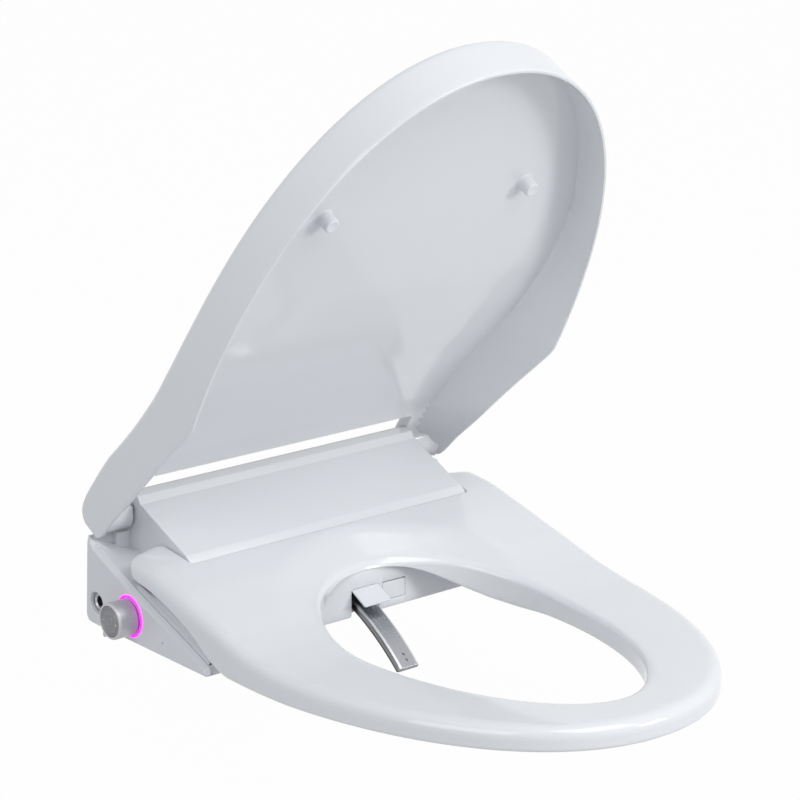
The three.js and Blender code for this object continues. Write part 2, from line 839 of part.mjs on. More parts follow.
function lidPlan(earInner, rearEdgeY) {
  const end = lidEarRadius + overcut;
  return [
    ...lidFront(0),
    point(-lidHalfWidth, end),
    point(-earInner, end),
    point(-earInner, rearEdgeY),
    point(earInner, rearEdgeY),
    point(earInner, end),
    point(lidHalfWidth, end),
  ];
}

// Where the sloping rim meets the round end of the ear.
function rimMeetsEar() {
  const rise = lidRimRearZ - lidHingeZ;
  const a = 1 + lidRimSlope * lidRimSlope;
  const b = lidRimSlope * rise;
  const c = rise * rise - lidEarRadius * lidEarRadius;
  const y = (-b + Math.sqrt(b * b - a * c)) / a;
  return THREE.MathUtils.radToDeg(Math.atan2(rise + lidRimSlope * y, y));
}

const lidOuterSide = [
  point(lidNoseY - overcut, lidRimZ),
  point(lidRimKinkY, lidRimZ),
  ...arcPoints(0, lidHingeZ, lidEarRadius, rimMeetsEar(), 90, earSteps).slice(0, -1),
  ...lidTopLine.slice().reverse(),
];
const lidHollowSide = [
  point(lidNoseY - overcut, 0),
  point(lidEarRadius + overcut, 0),
  ...arcPoints(0, lidHingeZ, lidEarRadius - lidTopThickness, rimMeetsEar(), 90, earSteps).slice(0, -1),
  ...lowered(lidTopLine, lidTopThickness).reverse(),
];
const lidHollowPlan = [
  ...lidFront(lidWall),
  point(lidWall - lidHalfWidth, lidEarRadius + overcut),
  point(lidHalfWidth - lidWall, lidEarRadius + overcut),
];
const lidSkin = cut(
  planBody(lidPlan(lidEarX, lidRearEdgeY), -farZ, farZ).intersect(sideBody(lidOuterSide, -farZ, farZ)),
  planBody(lidHollowPlan, -farZ, farZ).intersect(sideBody(lidHollowSide, -farZ, farZ)),
);
const knuckles = bothSides((side) => {
  const [x0, x1] = spanX(side, lidEarX, caseHalfWidth - gap);
  return barX(x0, x1, 0, lidHingeZ, knuckleRadius, largeRound);
});
const panelSlots = bothSides((side) => {
  const [x0, x1] = spanX(side, caseHalfWidth - gap, lidHalfWidth - lidWall);
  return block(x0, x1, -pinRadius, farZ, 0, farZ);
});
const lidShell = cut(
  joined(lidSkin, knuckles),
  panelSlots,
  bothSides((side) => pinBore(side, 0, lidHingeZ)),
);

function linerPlan(inset) {
  const halfWidth = lidHalfWidth - lidWall - gap - inset;
  const rear = lidRearEdgeY - inset;
  return [...lidFront(lidWall + gap + inset), point(-halfWidth, rear), point(halfWidth, rear)];
}

const linerTop = lowered(lidTopLine, lidTopThickness + gap).slice(0, -1);
const linerOuterSide = [...lidInnerLine, ...linerTop.reverse()];
const linerHollowSide = [
  ...lowered(lidInnerLine, -lidLinerThickness),
  point(lidRearEdgeY, farZ),
  point(lidNoseY - overcut, farZ),
];
const lidLiner = cut(
  planBody(linerPlan(0), -farZ, farZ).intersect(sideBody(linerOuterSide, -farZ, farZ)),
  planBody(linerPlan(lidLinerThickness), -farZ, farZ).intersect(sideBody(linerHollowSide, -farZ, farZ)),
);

addPiece(lid, 'lid_shell', lidShell, whiteGloss);
addPiece(lid, 'lid_liner', lidLiner, whiteGloss);
for (const [side, label] of [[-1, 'left'], [1, 'right']]) {
  const bumperTop = lidInnerFront - gap;
  const bumper = barZ(side * lidBumperX, lidBumperY, lidBumperEnd, bumperTop, lidBumperRadius);
  addPiece(lid, `lid_bumper_${label}`, bumper, softWhite);
}

// ---- wash nozzle on its arc -------------------------------------------------------------------
const nozzleArcZ = nozzleTopZ - nozzleOuterRadius;

// The angle from upright at which the curve of this radius reaches y.
function arcAngle(y, radius) {
  return THREE.MathUtils.radToDeg(Math.asin((nozzleArcY - y) / radius));
}

// The angle that a length takes up along the outer curve.
function angleOf(length) {
  return THREE.MathUtils.radToDeg(length / nozzleOuterRadius);
}

function arcPlace(angle, radius) {
  const turn = toRadians(angle);
  return point(nozzleArcY - radius * Math.sin(turn), nozzleArcZ + radius * Math.cos(turn));
}

function arcBody(innerRadius, outerRadius, fromAngle, toAngle, halfWidth, steps) {
  const outline = [];
  for (let i = 0; i <= steps; i += 1) {
    outline.push(arcPlace(fromAngle + ((toAngle - fromAngle) * i) / steps, outerRadius));
  }
  for (let i = steps; i >= 0; i -= 1) {
    outline.push(arcPlace(fromAngle + ((toAngle - fromAngle) * i) / steps, innerRadius));
  }
  return sideBody(outline.reverse(), nozzleX - halfWidth, nozzleX + halfWidth);
}

const nozzleInnerRadius = nozzleOuterRadius - nozzleThickness;
const nozzleHalf = nozzleWidth / 2;
const nozzleTipAngle = arcAngle(nozzleTipY, nozzleOuterRadius);
const nozzleRootAngle = arcAngle(nozzleRootY, nozzleOuterRadius);
const wallAngle = angleOf(sleeveWall);
const gapAngle = angleOf(gap);
const jets = jetPlaces.map((y) => {
  const place = arcPlace(arcAngle(y, nozzleOuterRadius), nozzleOuterRadius);
  return barZ(nozzleX, place.x, place.y - 2 * sleeveWall, place.y + overcut, jetRadius, smallRound);
});
const sleeve = cut(
  arcBody(nozzleInnerRadius, nozzleOuterRadius, nozzleRootAngle, nozzleTipAngle, nozzleHalf, arcSteps),
  arcBody(
    nozzleInnerRadius + sleeveWall, nozzleOuterRadius - sleeveWall,
    nozzleRootAngle - wallAngle, nozzleTipAngle - wallAngle, nozzleHalf - sleeveWall, arcSteps,
  ),
  ...jets,
);
const core = cut(
  arcBody(
    nozzleInnerRadius + sleeveWall + gap, nozzleOuterRadius - sleeveWall - gap,
    nozzleRootAngle, nozzleTipAngle - wallAngle - gapAngle, nozzleHalf - sleeveWall - gap, arcSteps,
  ),
  ...jets,
);
addPiece(model, 'nozzle_sleeve', sleeve, steel);
addPiece(model, 'nozzle_core', core, darkPlastic);

const guideInner = nozzleInnerRadius - runningGap;
const guideOuterHalf = nozzleHalf + runningGap + guideWall;
const guideFrontAngle = arcAngle(guideFrontY, nozzleOuterRadius);
const guideRearAngle = nozzleRootAngle - angleOf(nozzleTravel + guideSpare);
const gearPathRadius = nozzleInnerRadius - gap - driveGearRadius;
const gearPlace = arcPlace(arcAngle(driveGearY, gearPathRadius), gearPathRadius);

function guideLeg(y, floorZ) {
  const floorRadius = guideInner - guideFloorThickness / 2;
  const top = nozzleArcZ + Math.sqrt(floorRadius ** 2 - (nozzleArcY - y) ** 2);
  const bottom = floorZ + gap;
  return standingBlock(nozzleX, y, bottom, 2 * guideOuterHalf, guideLegWidth, top - bottom);
}

const guide = cut(
  joined(
    arcBody(
      guideInner - guideFloorThickness, nozzleOuterRadius - guideWall,
      guideRearAngle, guideFrontAngle, guideOuterHalf, arcSteps,
    ),
    guideLeg(guideFrontLegY, floorThickness),
    guideLeg(guideRearLegY, pocketRoof),
  ),
  arcBody(
    guideInner, nozzleOuterRadius + overcut,
    guideRearAngle - overcut, guideFrontAngle + overcut, nozzleHalf + runningGap, arcSteps,
  ),
  barX(
    nozzleX - driveGearWidth / 2 - runningGap, nozzleX + driveGearWidth / 2 + runningGap,
    gearPlace.x, gearPlace.y, driveGearRadius + runningGap,
  ),
);
addPiece(model, 'nozzle_guide', guide, whiteSatin);

function gearOutline() {
  const points = [];
  for (let i = 0; i < driveGearTeeth * 4; i += 1) {
    const turn = (2 * Math.PI * (i + 0.5)) / (driveGearTeeth * 4);
    const radius = i % 4 < 2 ? driveGearRadius : driveGearRadius - driveToothDepth;
    points.push(point(gearPlace.x + radius * Math.cos(turn), gearPlace.y + radius * Math.sin(turn)));
  }
  return points;
}

const gearX0 = nozzleX - driveGearWidth / 2;
const motorFaceX = nozzleX - guideOuterHalf - gap;
const driveGear = joined(
  sideBody(gearOutline(), gearX0, gearX0 + driveGearWidth),
  barX(motorFaceX + gap, gearX0 + gap, gearPlace.x, gearPlace.y, driveShaftRadius, smallRound),
);
const motor = barX(motorFaceX - motorLength, motorFaceX, gearPlace.x, gearPlace.y, motorRadius);
addPiece(model, 'drive_gear', driveGear, greyPlastic);
addPiece(model, 'nozzle_motor', motor, steel);

// ---- flaps in the front wall: drawn shut, hinged along the top -----------------------------------
function flapGroup(hingeZ, openAngle) {
  const turn = new THREE.Group();
  turn.position.set(0, frontWallY + flapThickness / 2, hingeZ);
  turn.rotation.x = -toRadians(openAngle);
  model.add(turn);
  return turn;
}

function flapBody(x, halfWidth, height) {
  const half = flapThickness / 2;
  return joined(
    block(x - halfWidth, x + halfWidth, -half, half, -height, 0),
    barX(x - halfWidth, x + halfWidth, 0, 0, half, smallRound),
  );
}

const nozzleFlapHingeZ = doorTop - runningGap - flapThickness / 2;
const nozzleFlapTurn = flapGroup(nozzleFlapHingeZ, nozzleFlapAngle);
const nozzleFlap = flapBody(nozzleX, doorHalfWidth - runningGap, nozzleFlapHeight);
addPiece(nozzleFlapTurn, 'nozzle_flap', nozzleFlap, whiteSatin);
const dryerFlapHingeZ = dryerTop - flapThickness / 2;
const dryerFlapTurn = flapGroup(dryerFlapHingeZ, 0);
const dryerFlap = flapBody(dryerX, dryerHalfWidth, dryerFlapHingeZ - dryerBottom);
addPiece(dryerFlapTurn, 'dryer_flap', dryerFlap, whiteSatin);

// ---- knob, encoder, light ring, water inlet and cable gland --------------------------------------
const panelFace = -seatHalfWidth;
const knobBack = panelFace - knobStandOff;
const knobFront = knobBack - knobLength;
const shaftEnd = knobBack - knobSocketDepth + gap;
const encoderOuterX = -caseHalfWidth + encoderInset;
const encoderInnerX = encoderOuterX + encoderDepth;
const knobTab = new THREE.BoxGeometry(knobTabWidth, 2 * knobTabReach, knobTabWidth);
knobTab.translate(knobFront + knobTabWidth / 2, knobRadius, 0);
knobTab.rotateX(toRadians(knobTabAngle));
knobTab.translate(0, knobY, knobZ);
const knobCapBack = knobFront + knobCapThickness + gap;
const knobBody = cut(
  joined(barX(knobFront, knobBack, knobY, knobZ, knobRadius, largeRound), solid(knobTab)),
  barX(knobFront - overcut, knobCapBack, knobY, knobZ, knobCapRadius + gap, largeRound),
  barX(shaftEnd - gap, knobBack + overcut, knobY, knobZ, knobShaftRadius + gap),
);
const knobCap = barX(knobFront, knobFront + knobCapThickness, knobY, knobZ, knobCapRadius, largeRound);
const knobShaft = barX(shaftEnd, encoderInnerX - gap, knobY, knobZ, knobShaftRadius);
const encoderX = (encoderOuterX + encoderInnerX) / 2;
const encoder = cut(
  standingBlock(encoderX, knobY, knobZ - encoderSize / 2, encoderDepth, encoderSize, encoderSize),
  barX(encoderOuterX - overcut, encoderInnerX + overcut, knobY, knobZ, knobHoleRadius),
);
const lightRing = cut(
  barX(panelFace - gap - lightRingHeight, panelFace - gap, knobY, knobZ, lightRingOuter, largeRound),
  barX(panelFace - 2 * overcut, panelFace + overcut, knobY, knobZ, lightRingInner, largeRound),
);
addPiece(model, 'knob_body', knobBody, knobMetal);
addPiece(model, 'knob_cap', knobCap, knobMetal);
addPiece(model, 'knob_shaft', knobShaft, steel);
addPiece(model, 'encoder_body', encoder, darkPlastic);
addPiece(model, 'light_ring', lightRing, magentaLight);

const inletOuterX = panelFace + inletInset;
const inletInnerX = inletOuterX + inletLength;
const inlet = cut(
  barX(inletOuterX, inletInnerX, inletY, inletZ, inletRadius),
  barX(inletOuterX - overcut, inletInnerX - inletEndWall, inletY, inletZ, inletBore),
);
const glandOuterX = seatHalfWidth + gap;
const glandX0 = seatHalfWidth - glandInside;
const glandX1 = seatHalfWidth + glandReach;
const gland = cut(
  joined(
    barX(glandOuterX, glandOuterX + glandFlangeThickness, inletY, inletZ, glandFlangeRadius),
    barX(glandX0, glandX1, inletY, inletZ, glandRadius),
  ),
  barX(glandX0 - overcut, glandX1 + overcut, inletY, inletZ, glandBore),
);
addPiece(model, 'water_inlet', inlet, brassMetal);
addPiece(model, 'cable_gland', gland, darkPlastic);

// ---- modules inside the base --------------------------------------------------------------------
const onFloor = floorThickness + gap;
const valveX0 = inletInnerX + gap;
// The heater tank stands midway between the pump and the nozzle's motor.
const heaterX = (pumpX + pumpLength / 2 + motorFaceX - motorLength) / 2;
const valveX = valveX0 + valveWidth / 2;
const valve = standingBlock(valveX, inletY, onFloor, valveWidth, valveDepth, valveHeight);
const heater = standingBlock(heaterX, heaterY, onFloor, heaterWidth, heaterDepth, heaterHeight);
const pumpHalf = pumpLength / 2;
const pump = barX(pumpX - pumpHalf, pumpX + pumpHalf, pumpY, onFloor + pumpRadius, pumpRadius);
const power = standingBlock(powerX, powerY, pocketRoof + gap, powerWidth, powerDepth, powerHeight);
const boardY = baseRearY - caseWall - gap - boardThickness / 2;
const board = standingBlock(boardX, boardY, boardBottom, boardWidth, boardThickness, boardHeight);
addPiece(model, 'water_valve', valve, whiteSatin);
addPiece(model, 'heater_tank', heater, greyPlastic);
addPiece(model, 'water_pump', pump, darkPlastic);
addPiece(model, 'power_module', power, darkPlastic);
addPiece(model, 'control_board', board, boardGreen);

const ductBottom = onFloor + fanWall;
const ductTop = dryerTop + runningGap;
const ductSideX = dryerX + dryerHalfWidth;
const ductFrontY = frontWallY + frontWallThickness + gap;
const ductRearY = fanY + ductDepth / 2;

// The air path from the fan to the front wall, made smaller all round by inset and longer by reach.
function ductPath(inset, reach) {
  return joined(
    block(
      dryerX - dryerHalfWidth + inset, ductSideX - inset,
      ductFrontY - reach, ductRearY - inset,
      ductBottom + inset, ductTop - inset,
    ),
    block(
      dryerX, fanX - fanRadius - gap + reach,
      fanY - ductDepth / 2 + inset, ductRearY - inset,
      ductBottom + inset, ductTop - inset,
    ),
  );
}

const fanTop = onFloor + fanHeight;
const dryerDuct = cut(ductPath(0, 0), ductPath(ductWall, overcut));
const fanCase = cut(
  barZ(fanX, fanY, onFloor, fanTop, fanRadius, largeRound),
  barZ(fanX, fanY, onFloor + fanWall, fanTop - fanWall, fanRadius - fanWall, largeRound),
  barZ(fanX, fanY, fanTop - 2 * fanWall, fanTop + overcut, fanInletRadius),
  ductPath(ductWall, 2 * fanWall + overcut),
);
const wheelBottom = onFloor + fanWall + runningGap;
let fanWheel = joined(
  barZ(fanX, fanY, wheelBottom, wheelBottom + fanWheelHeight, fanHubRadius),
  barZ(fanX, fanY, wheelBottom, wheelBottom + fanDiscThickness, fanWheelRadius),
);
for (let i = 0; i < fanBlades; i += 1) {
  const blade = new THREE.BoxGeometry(fanBladeLength, fanBladeThickness, fanWheelHeight);
  blade.rotateZ(-toRadians(fanBladeTilt));
  blade.translate(fanWheelRadius - 0.6 * fanBladeLength, 0, wheelBottom + fanWheelHeight / 2);
  blade.rotateZ((2 * Math.PI * i) / fanBlades);
  blade.translate(fanX, fanY, 0);
  fanWheel = joined(fanWheel, solid(blade));
}
addPiece(model, 'dryer_duct', dryerDuct, greyPlastic);
addPiece(model, 'fan_case', fanCase, greyPlastic);
addPiece(model, 'fan_wheel', fanWheel, darkPlastic);

export default model;
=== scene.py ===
import json
import math
import bpy
import bmesh
import numpy as np
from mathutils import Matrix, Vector
from mathutils.geometry import delaunay_2d_cdt


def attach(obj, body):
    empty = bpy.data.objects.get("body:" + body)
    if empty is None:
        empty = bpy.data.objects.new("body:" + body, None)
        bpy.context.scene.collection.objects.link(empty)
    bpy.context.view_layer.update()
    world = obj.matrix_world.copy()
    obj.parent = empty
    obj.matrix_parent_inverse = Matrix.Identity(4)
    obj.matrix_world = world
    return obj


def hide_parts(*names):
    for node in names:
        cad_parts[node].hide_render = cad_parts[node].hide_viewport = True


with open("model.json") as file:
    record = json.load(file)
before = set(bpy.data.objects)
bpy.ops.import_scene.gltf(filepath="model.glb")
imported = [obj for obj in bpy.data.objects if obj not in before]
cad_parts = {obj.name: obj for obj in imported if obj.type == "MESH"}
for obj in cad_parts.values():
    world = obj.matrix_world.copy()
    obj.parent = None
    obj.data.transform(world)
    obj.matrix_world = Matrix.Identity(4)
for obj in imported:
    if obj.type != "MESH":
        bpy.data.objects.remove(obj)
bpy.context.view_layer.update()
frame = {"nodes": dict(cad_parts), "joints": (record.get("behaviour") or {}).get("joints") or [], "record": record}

# Electric bidet seat. Lengths in this file are millimetres, until a mesh is made.
mm = 0.001
record = frame["record"]
scene = bpy.context.scene
sides = ((-1, "left"), (1, "right"))
farBehind = 400.0  # where a straight side line ends, well past every piece
batch = 2000  # points measured at a time


def jointNamed(name):
    return next(j for j in frame["joints"] if j["name"] == name)


# ---- numbers and curves ----

def curveOf(*pairs):
    # a smooth line through (x, y) pairs that never overshoots them
    xs, ys = np.array(pairs, float).T
    step = np.diff(ys) / np.diff(xs)
    slope = np.zeros(len(xs))
    before, after = step[:-1], step[1:]
    same = before * after > 0
    slope[1:-1][same] = 2 * before[same] * after[same] / (before + after)[same]
    slope[0], slope[-1] = step[0], step[-1]

    def at(x):
        x = np.clip(x, xs[0], xs[-1])
        i = np.clip(np.searchsorted(xs, x, side="right") - 1, 0, len(xs) - 2)
        h = xs[i + 1] - xs[i]
        t = (x - xs[i]) / h
        return (ys[i] * (1 + 2 * t) * (1 - t) ** 2 + h * slope[i] * t * (1 - t) ** 2
                + ys[i + 1] * t * t * (3 - 2 * t) + h * slope[i + 1] * t * t * (t - 1))
    return at


def ease(t):
    t = np.clip(t, 0, 1)
    return t * t * (3 - 2 * t)


def roundOff(d, reach, drop):
    # how far an edge has rounded down at distance d inside it
    t = np.clip(1 - d / reach, 0, 1)
    return drop * (1 - np.sqrt(1 - t * t))


def evenly(points, spacing):
    # the same closed line with its points a steady distance apart
    line = np.vstack([points, points[:1]])
    travel = np.concatenate([[0], np.cumsum(np.linalg.norm(np.diff(line, axis=0), axis=1))])
    count = max(2, int(round(travel[-1] / spacing)))
    marks = np.linspace(0, travel[-1], count, endpoint=False)
    return np.stack([np.interp(marks, travel, line[:, k]) for k in range(line.shape[1])], -1)


def halfOval(halfWidth, tipY, widestY, power, steps=400):
    # from the tip round to the widest place, on the +X side
    turn = np.linspace(0, math.pi / 2, steps)
    x = halfWidth * np.sin(turn) ** (2 / power)
    y = widestY + (tipY - widestY) * np.cos(turn) ** (2 / power)
    return np.stack([x, y], -1)


def mirrored(right, spacing, first=1):
    # a closed line from its +X half, which starts at the tip; the other half leaves out its first points
    left = right[::-1] * [-1, 1]
    return evenly(np.vstack([right, left[first:-1]]), spacing)


def sideLine(half, farX, spacing):
    # the sides of an outline, carried on straight behind its widest place
    return mirrored(np.vstack([half, [[farX, farBehind]]]), spacing, first=0)


def ringOf(count):
    # steady angles round a full turn
    return np.linspace(0, 2 * math.pi, count, endpoint=False)


def rounded(corners, steps=8):
    # a closed or open line of (x, y, radius) corners, each with an arc
    flat = np.array([c[:2] for c in corners], float)
    line = []
    for i, (x, y, radius) in enumerate(corners):
        here = flat[i]
        toLast = flat[i - 1] - here
        toNext = flat[(i + 1) % len(flat)] - here
        if radius <= 0:
            line.append(here)
            continue
        toLast = toLast / np.linalg.norm(toLast)
        toNext = toNext / np.linalg.norm(toNext)
        half = math.acos(np.clip(toLast @ toNext, -1, 1)) / 2
        middle = (toLast + toNext) / np.linalg.norm(toLast + toNext)
        centre = here + middle * radius / math.sin(half)
        start = here + toLast * radius / math.tan(half) - centre
        end = here + toNext * radius / math.tan(half) - centre
        a0 = math.atan2(start[1], start[0])
        turn = math.atan2(end[1], end[0]) - a0
        turn = (turn + math.pi) % (2 * math.pi) - math.pi
        for k in range(steps + 1):
            a = a0 + turn * k / steps
            line.append(centre + radius * np.array([math.cos(a), math.sin(a)]))
    return np.array(line)


# ---- meshes ----

def objectFrom(name, points, faces, sharp=None):
    data = bpy.data.meshes.new(name)
    data.from_pydata((np.asarray(points, float) * mm).tolist(), [], [list(map(int, f)) for f in faces])
    work = bmesh.new()
    work.from_mesh(data)
    bmesh.ops.remove_doubles(work, verts=work.verts, dist=1e-6)
    bmesh.ops.dissolve_degenerate(work, edges=work.edges, dist=1e-7)
    bmesh.ops.recalc_face_normals(work, faces=work.faces)
    work.to_mesh(data)
    work.free()
    data.polygons.foreach_set("use_smooth", [True] * len(data.polygons))
    if sharp is not None:
        data.set_sharp_from_angle(angle=math.radians(sharp))
    piece = bpy.data.objects.new(name, data)
    scene.collection.objects.link(piece)
    return piece


class Shape:
    # gathers sheets of points until they become one mesh
    def __init__(self):
        self.points = np.zeros((0, 3))
        self.faces = []

    def add(self, points, faces):
        start = len(self.points)
        self.points = np.vstack([self.points, np.asarray(points, float)])
        self.faces += [[start + i for i in face] for face in faces]

    def grid(self, rows, closed=False):
        # rows of the same length, one sheet of four-sided faces
        rows = np.asarray(rows, float)
        m, n = rows.shape[:2]
        across = n if closed else n - 1
        faces = [[r * n + c, r * n + (c + 1) % n, (r + 1) * n + (c + 1) % n, (r + 1) * n + c]
                 for r in range(m - 1) for c in range(across)]
        self.add(rows.reshape(-1, 3), faces)

    def cap(self, ring):
        self.add(ring, [list(range(len(ring)))])

    def tube(self, rows, ends=(0, -1)):
        # rings joined into a tube, with a flat face on the ends that are named
        self.grid(rows, closed=True)
        for end in ends:
            self.cap(rows[end])
        return self

    def piece(self, name, sharp=None):
        return objectFrom(name, self.points, self.faces, sharp)


def finished(piece, body, slotName, *nodes, finish=None):
    # gives a piece its body and its finish, and hides the CAD nodes that it stands for
    piece.data.materials.append(finishes[finish or slotName])
    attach(piece, body)
    if nodes:
        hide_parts(*nodes)
    return piece


def softEdges(piece, width, segments, angle):
    bevel = piece.modifiers.new("soft edges", "BEVEL")
    bevel.width = width * mm
    bevel.segments = segments
    bevel.limit_method = "ANGLE"
    bevel.angle_limit = math.radians(angle)
    bevel.harden_normals = True
    bevel.miter_outer = "MITER_ARC"
    return piece


def lathe(profile, centre, axis, turns):
    # (along, radius) pairs turned about a line through centre
    angles = ringOf(turns)
    rows = []
    for along, radius in profile:
        a, b = radius * np.cos(angles), radius * np.sin(angles)
        still = np.full(turns, float(along))
        ring = {"x": [still, a, b], "z": [a, b, still]}[axis]
        rows.append(np.stack(ring, -1) + np.array(centre, float))
    return rows


def turned(name, profile, centre, axis, turns, sharp, ends=()):
    return Shape().tube(lathe(profile, centre, axis, turns), ends).piece(name, sharp)


# ---- flat areas cut into small triangles, for surfaces that bend both ways ----

def farFrom(points, outline):
    # distance from each point to a closed line
    a = outline
    b = np.roll(outline, -1, axis=0)
    along = b - a
    size = (along ** 2).sum(1)
    best = np.full(len(points), 1e9)
    for first in range(0, len(points), batch):
        p = points[first:first + batch, None, :]
        t = np.clip(((p - a) * along).sum(2) / size, 0, 1)
        gapHere = np.sqrt(((p - a - along * t[..., None]) ** 2).sum(2))
        best[first:first + batch] = gapHere.min(1)
    return best


def insideOf(points, outline):
    a = outline
    b = np.roll(outline, -1, axis=0)
    inside = np.zeros(len(points), bool)
    for first in range(0, len(points), batch):
        p = points[first:first + batch]
        x, y = p[:, 0, None], p[:, 1, None]
        straddles = (a[:, 1] > y) != (b[:, 1] > y)
        rise = np.where(b[:, 1] == a[:, 1], 1e-9, b[:, 1] - a[:, 1])
        crossX = a[:, 0] + (y - a[:, 1]) * (b[:, 0] - a[:, 0]) / rise
        inside[first:first + batch] = (straddles & (x < crossX)).sum(1) % 2 == 1
    return inside


def outwardOf(outline):
    step = np.roll(outline, -1, axis=0) - np.roll(outline, 1, axis=0)
    normal = np.stack([step[:, 1], -step[:, 0]], -1)
    normal /= np.linalg.norm(normal, axis=1)[:, None]
    area = (outline[:, 0] * np.roll(outline[:, 1], -1) - np.roll(outline[:, 0], -1) * outline[:, 1]).sum()
    return normal if area > 0 else -normal


class Area:
    # the flat area inside one outline and outside the others, with rings of points at given insets from each
    def __init__(self, outer, holes, insets, spacing):
        self.lines = [outer] + holes
        cloud = list(self.lines)
        for k, line in enumerate(self.lines):
            inward = -outwardOf(line) if k == 0 else outwardOf(line)
            for inset in insets[k]:
                far = inset(line[:, 1]) if callable(inset) else np.full(len(line), inset)
                ring = line + inward * far[:, None]
                keep = farFrom(ring, line) > far * 0.98 - 0.03
                for other in self.lines:
                    if other is not line:
                        keep &= farFrom(ring, other) > spacing * 0.5
                keep &= self.holds(ring)
                cloud.append(ring[keep])
        low, high = outer.min(0), outer.max(0)
        xs = np.arange(low[0], high[0], spacing)
        ys = np.arange(low[1], high[1], spacing * 0.866)  # rows of even triangles
        grid = np.array([[x + (j % 2) * spacing / 2, y] for j, y in enumerate(ys) for x in xs])
        grid = grid[self.holds(grid)]
        for k, line in enumerate(self.lines):
            fixed = [inset for inset in insets[k] if not callable(inset)]
            grid = grid[farFrom(grid, line) > max(fixed + [0]) + spacing * 0.6]
            for inset in insets[k]:
                if callable(inset):
                    grid = grid[np.abs(farFrom(grid, line) - inset(grid[:, 1])) > spacing * 0.45]
        cloud.append(grid)
        loops, start = [], 0
        for line in self.lines:
            loops.append(list(range(start, start + len(line))))
            start += len(line)
        edges = [pair for loop in loops for pair in zip(loop, loop[1:] + loop[:1])]
        made = delaunay_2d_cdt([Vector(p) for p in np.vstack(cloud)], edges, [], 0, 1e-5)
        self.points = np.array([tuple(v) for v in made[0]])
        whereIs = {old: new for new, olds in enumerate(made[3]) for old in olds}
        self.loops = [[whereIs[i] for i in loop] for loop in loops]
        faces = np.array([f for f in made[2] if len(f) == 3])
        corners = self.points[faces]
        first, second = corners[:, 1] - corners[:, 0], corners[:, 2] - corners[:, 0]
        # a straight run of the outline also gives slivers of no width, which would stand up as fins
        full = np.abs(first[:, 0] * second[:, 1] - first[:, 1] * second[:, 0]) > 1e-4
        self.faces = faces[full & self.holds(corners.mean(1))]

    def holds(self, points):
        inside = insideOf(points, self.lines[0])
        for line in self.lines[1:]:
            inside &= ~insideOf(points, line)
        return inside

    def slab(self, topZ, underZ, wallRows):
        # a closed body between two heights over this area
        shape = Shape()
        p = self.points
        shape.add(np.column_stack([p, topZ]), self.faces)
        shape.add(np.column_stack([p, underZ]), self.faces[:, ::-1])
        for loop in self.loops:
            shape.grid([np.column_stack([p[loop], topZ[loop] * (1 - t) + underZ[loop] * t])
                        for t in np.linspace(0, 1, wallRows + 1)], closed=True)
        return shape


# ---- shader helpers ----

class Wire:
    # a value inside a material; arithmetic on it adds Math nodes
    def __init__(self, shading, socket):
        self.shading = shading
        self.socket = socket

    def sum(self, operation, first, second):
        return self.shading.node("ShaderNodeMath", {"operation": operation}, {0: first, 1: second})

    def __add__(self, other):
        return self.sum("ADD", self, other)

    def __radd__(self, other):
        return self.sum("ADD", other, self)

    def __sub__(self, other):
        return self.sum("SUBTRACT", self, other)

    def __rsub__(self, other):
        return self.sum("SUBTRACT", other, self)

    def __mul__(self, other):
        return self.sum("MULTIPLY", self, other)

    def __rmul__(self, other):
        return self.sum("MULTIPLY", other, self)

    def __truediv__(self, other):
        return self.sum("DIVIDE", self, other)

    def __pow__(self, other):
        return self.sum("POWER", self, other)


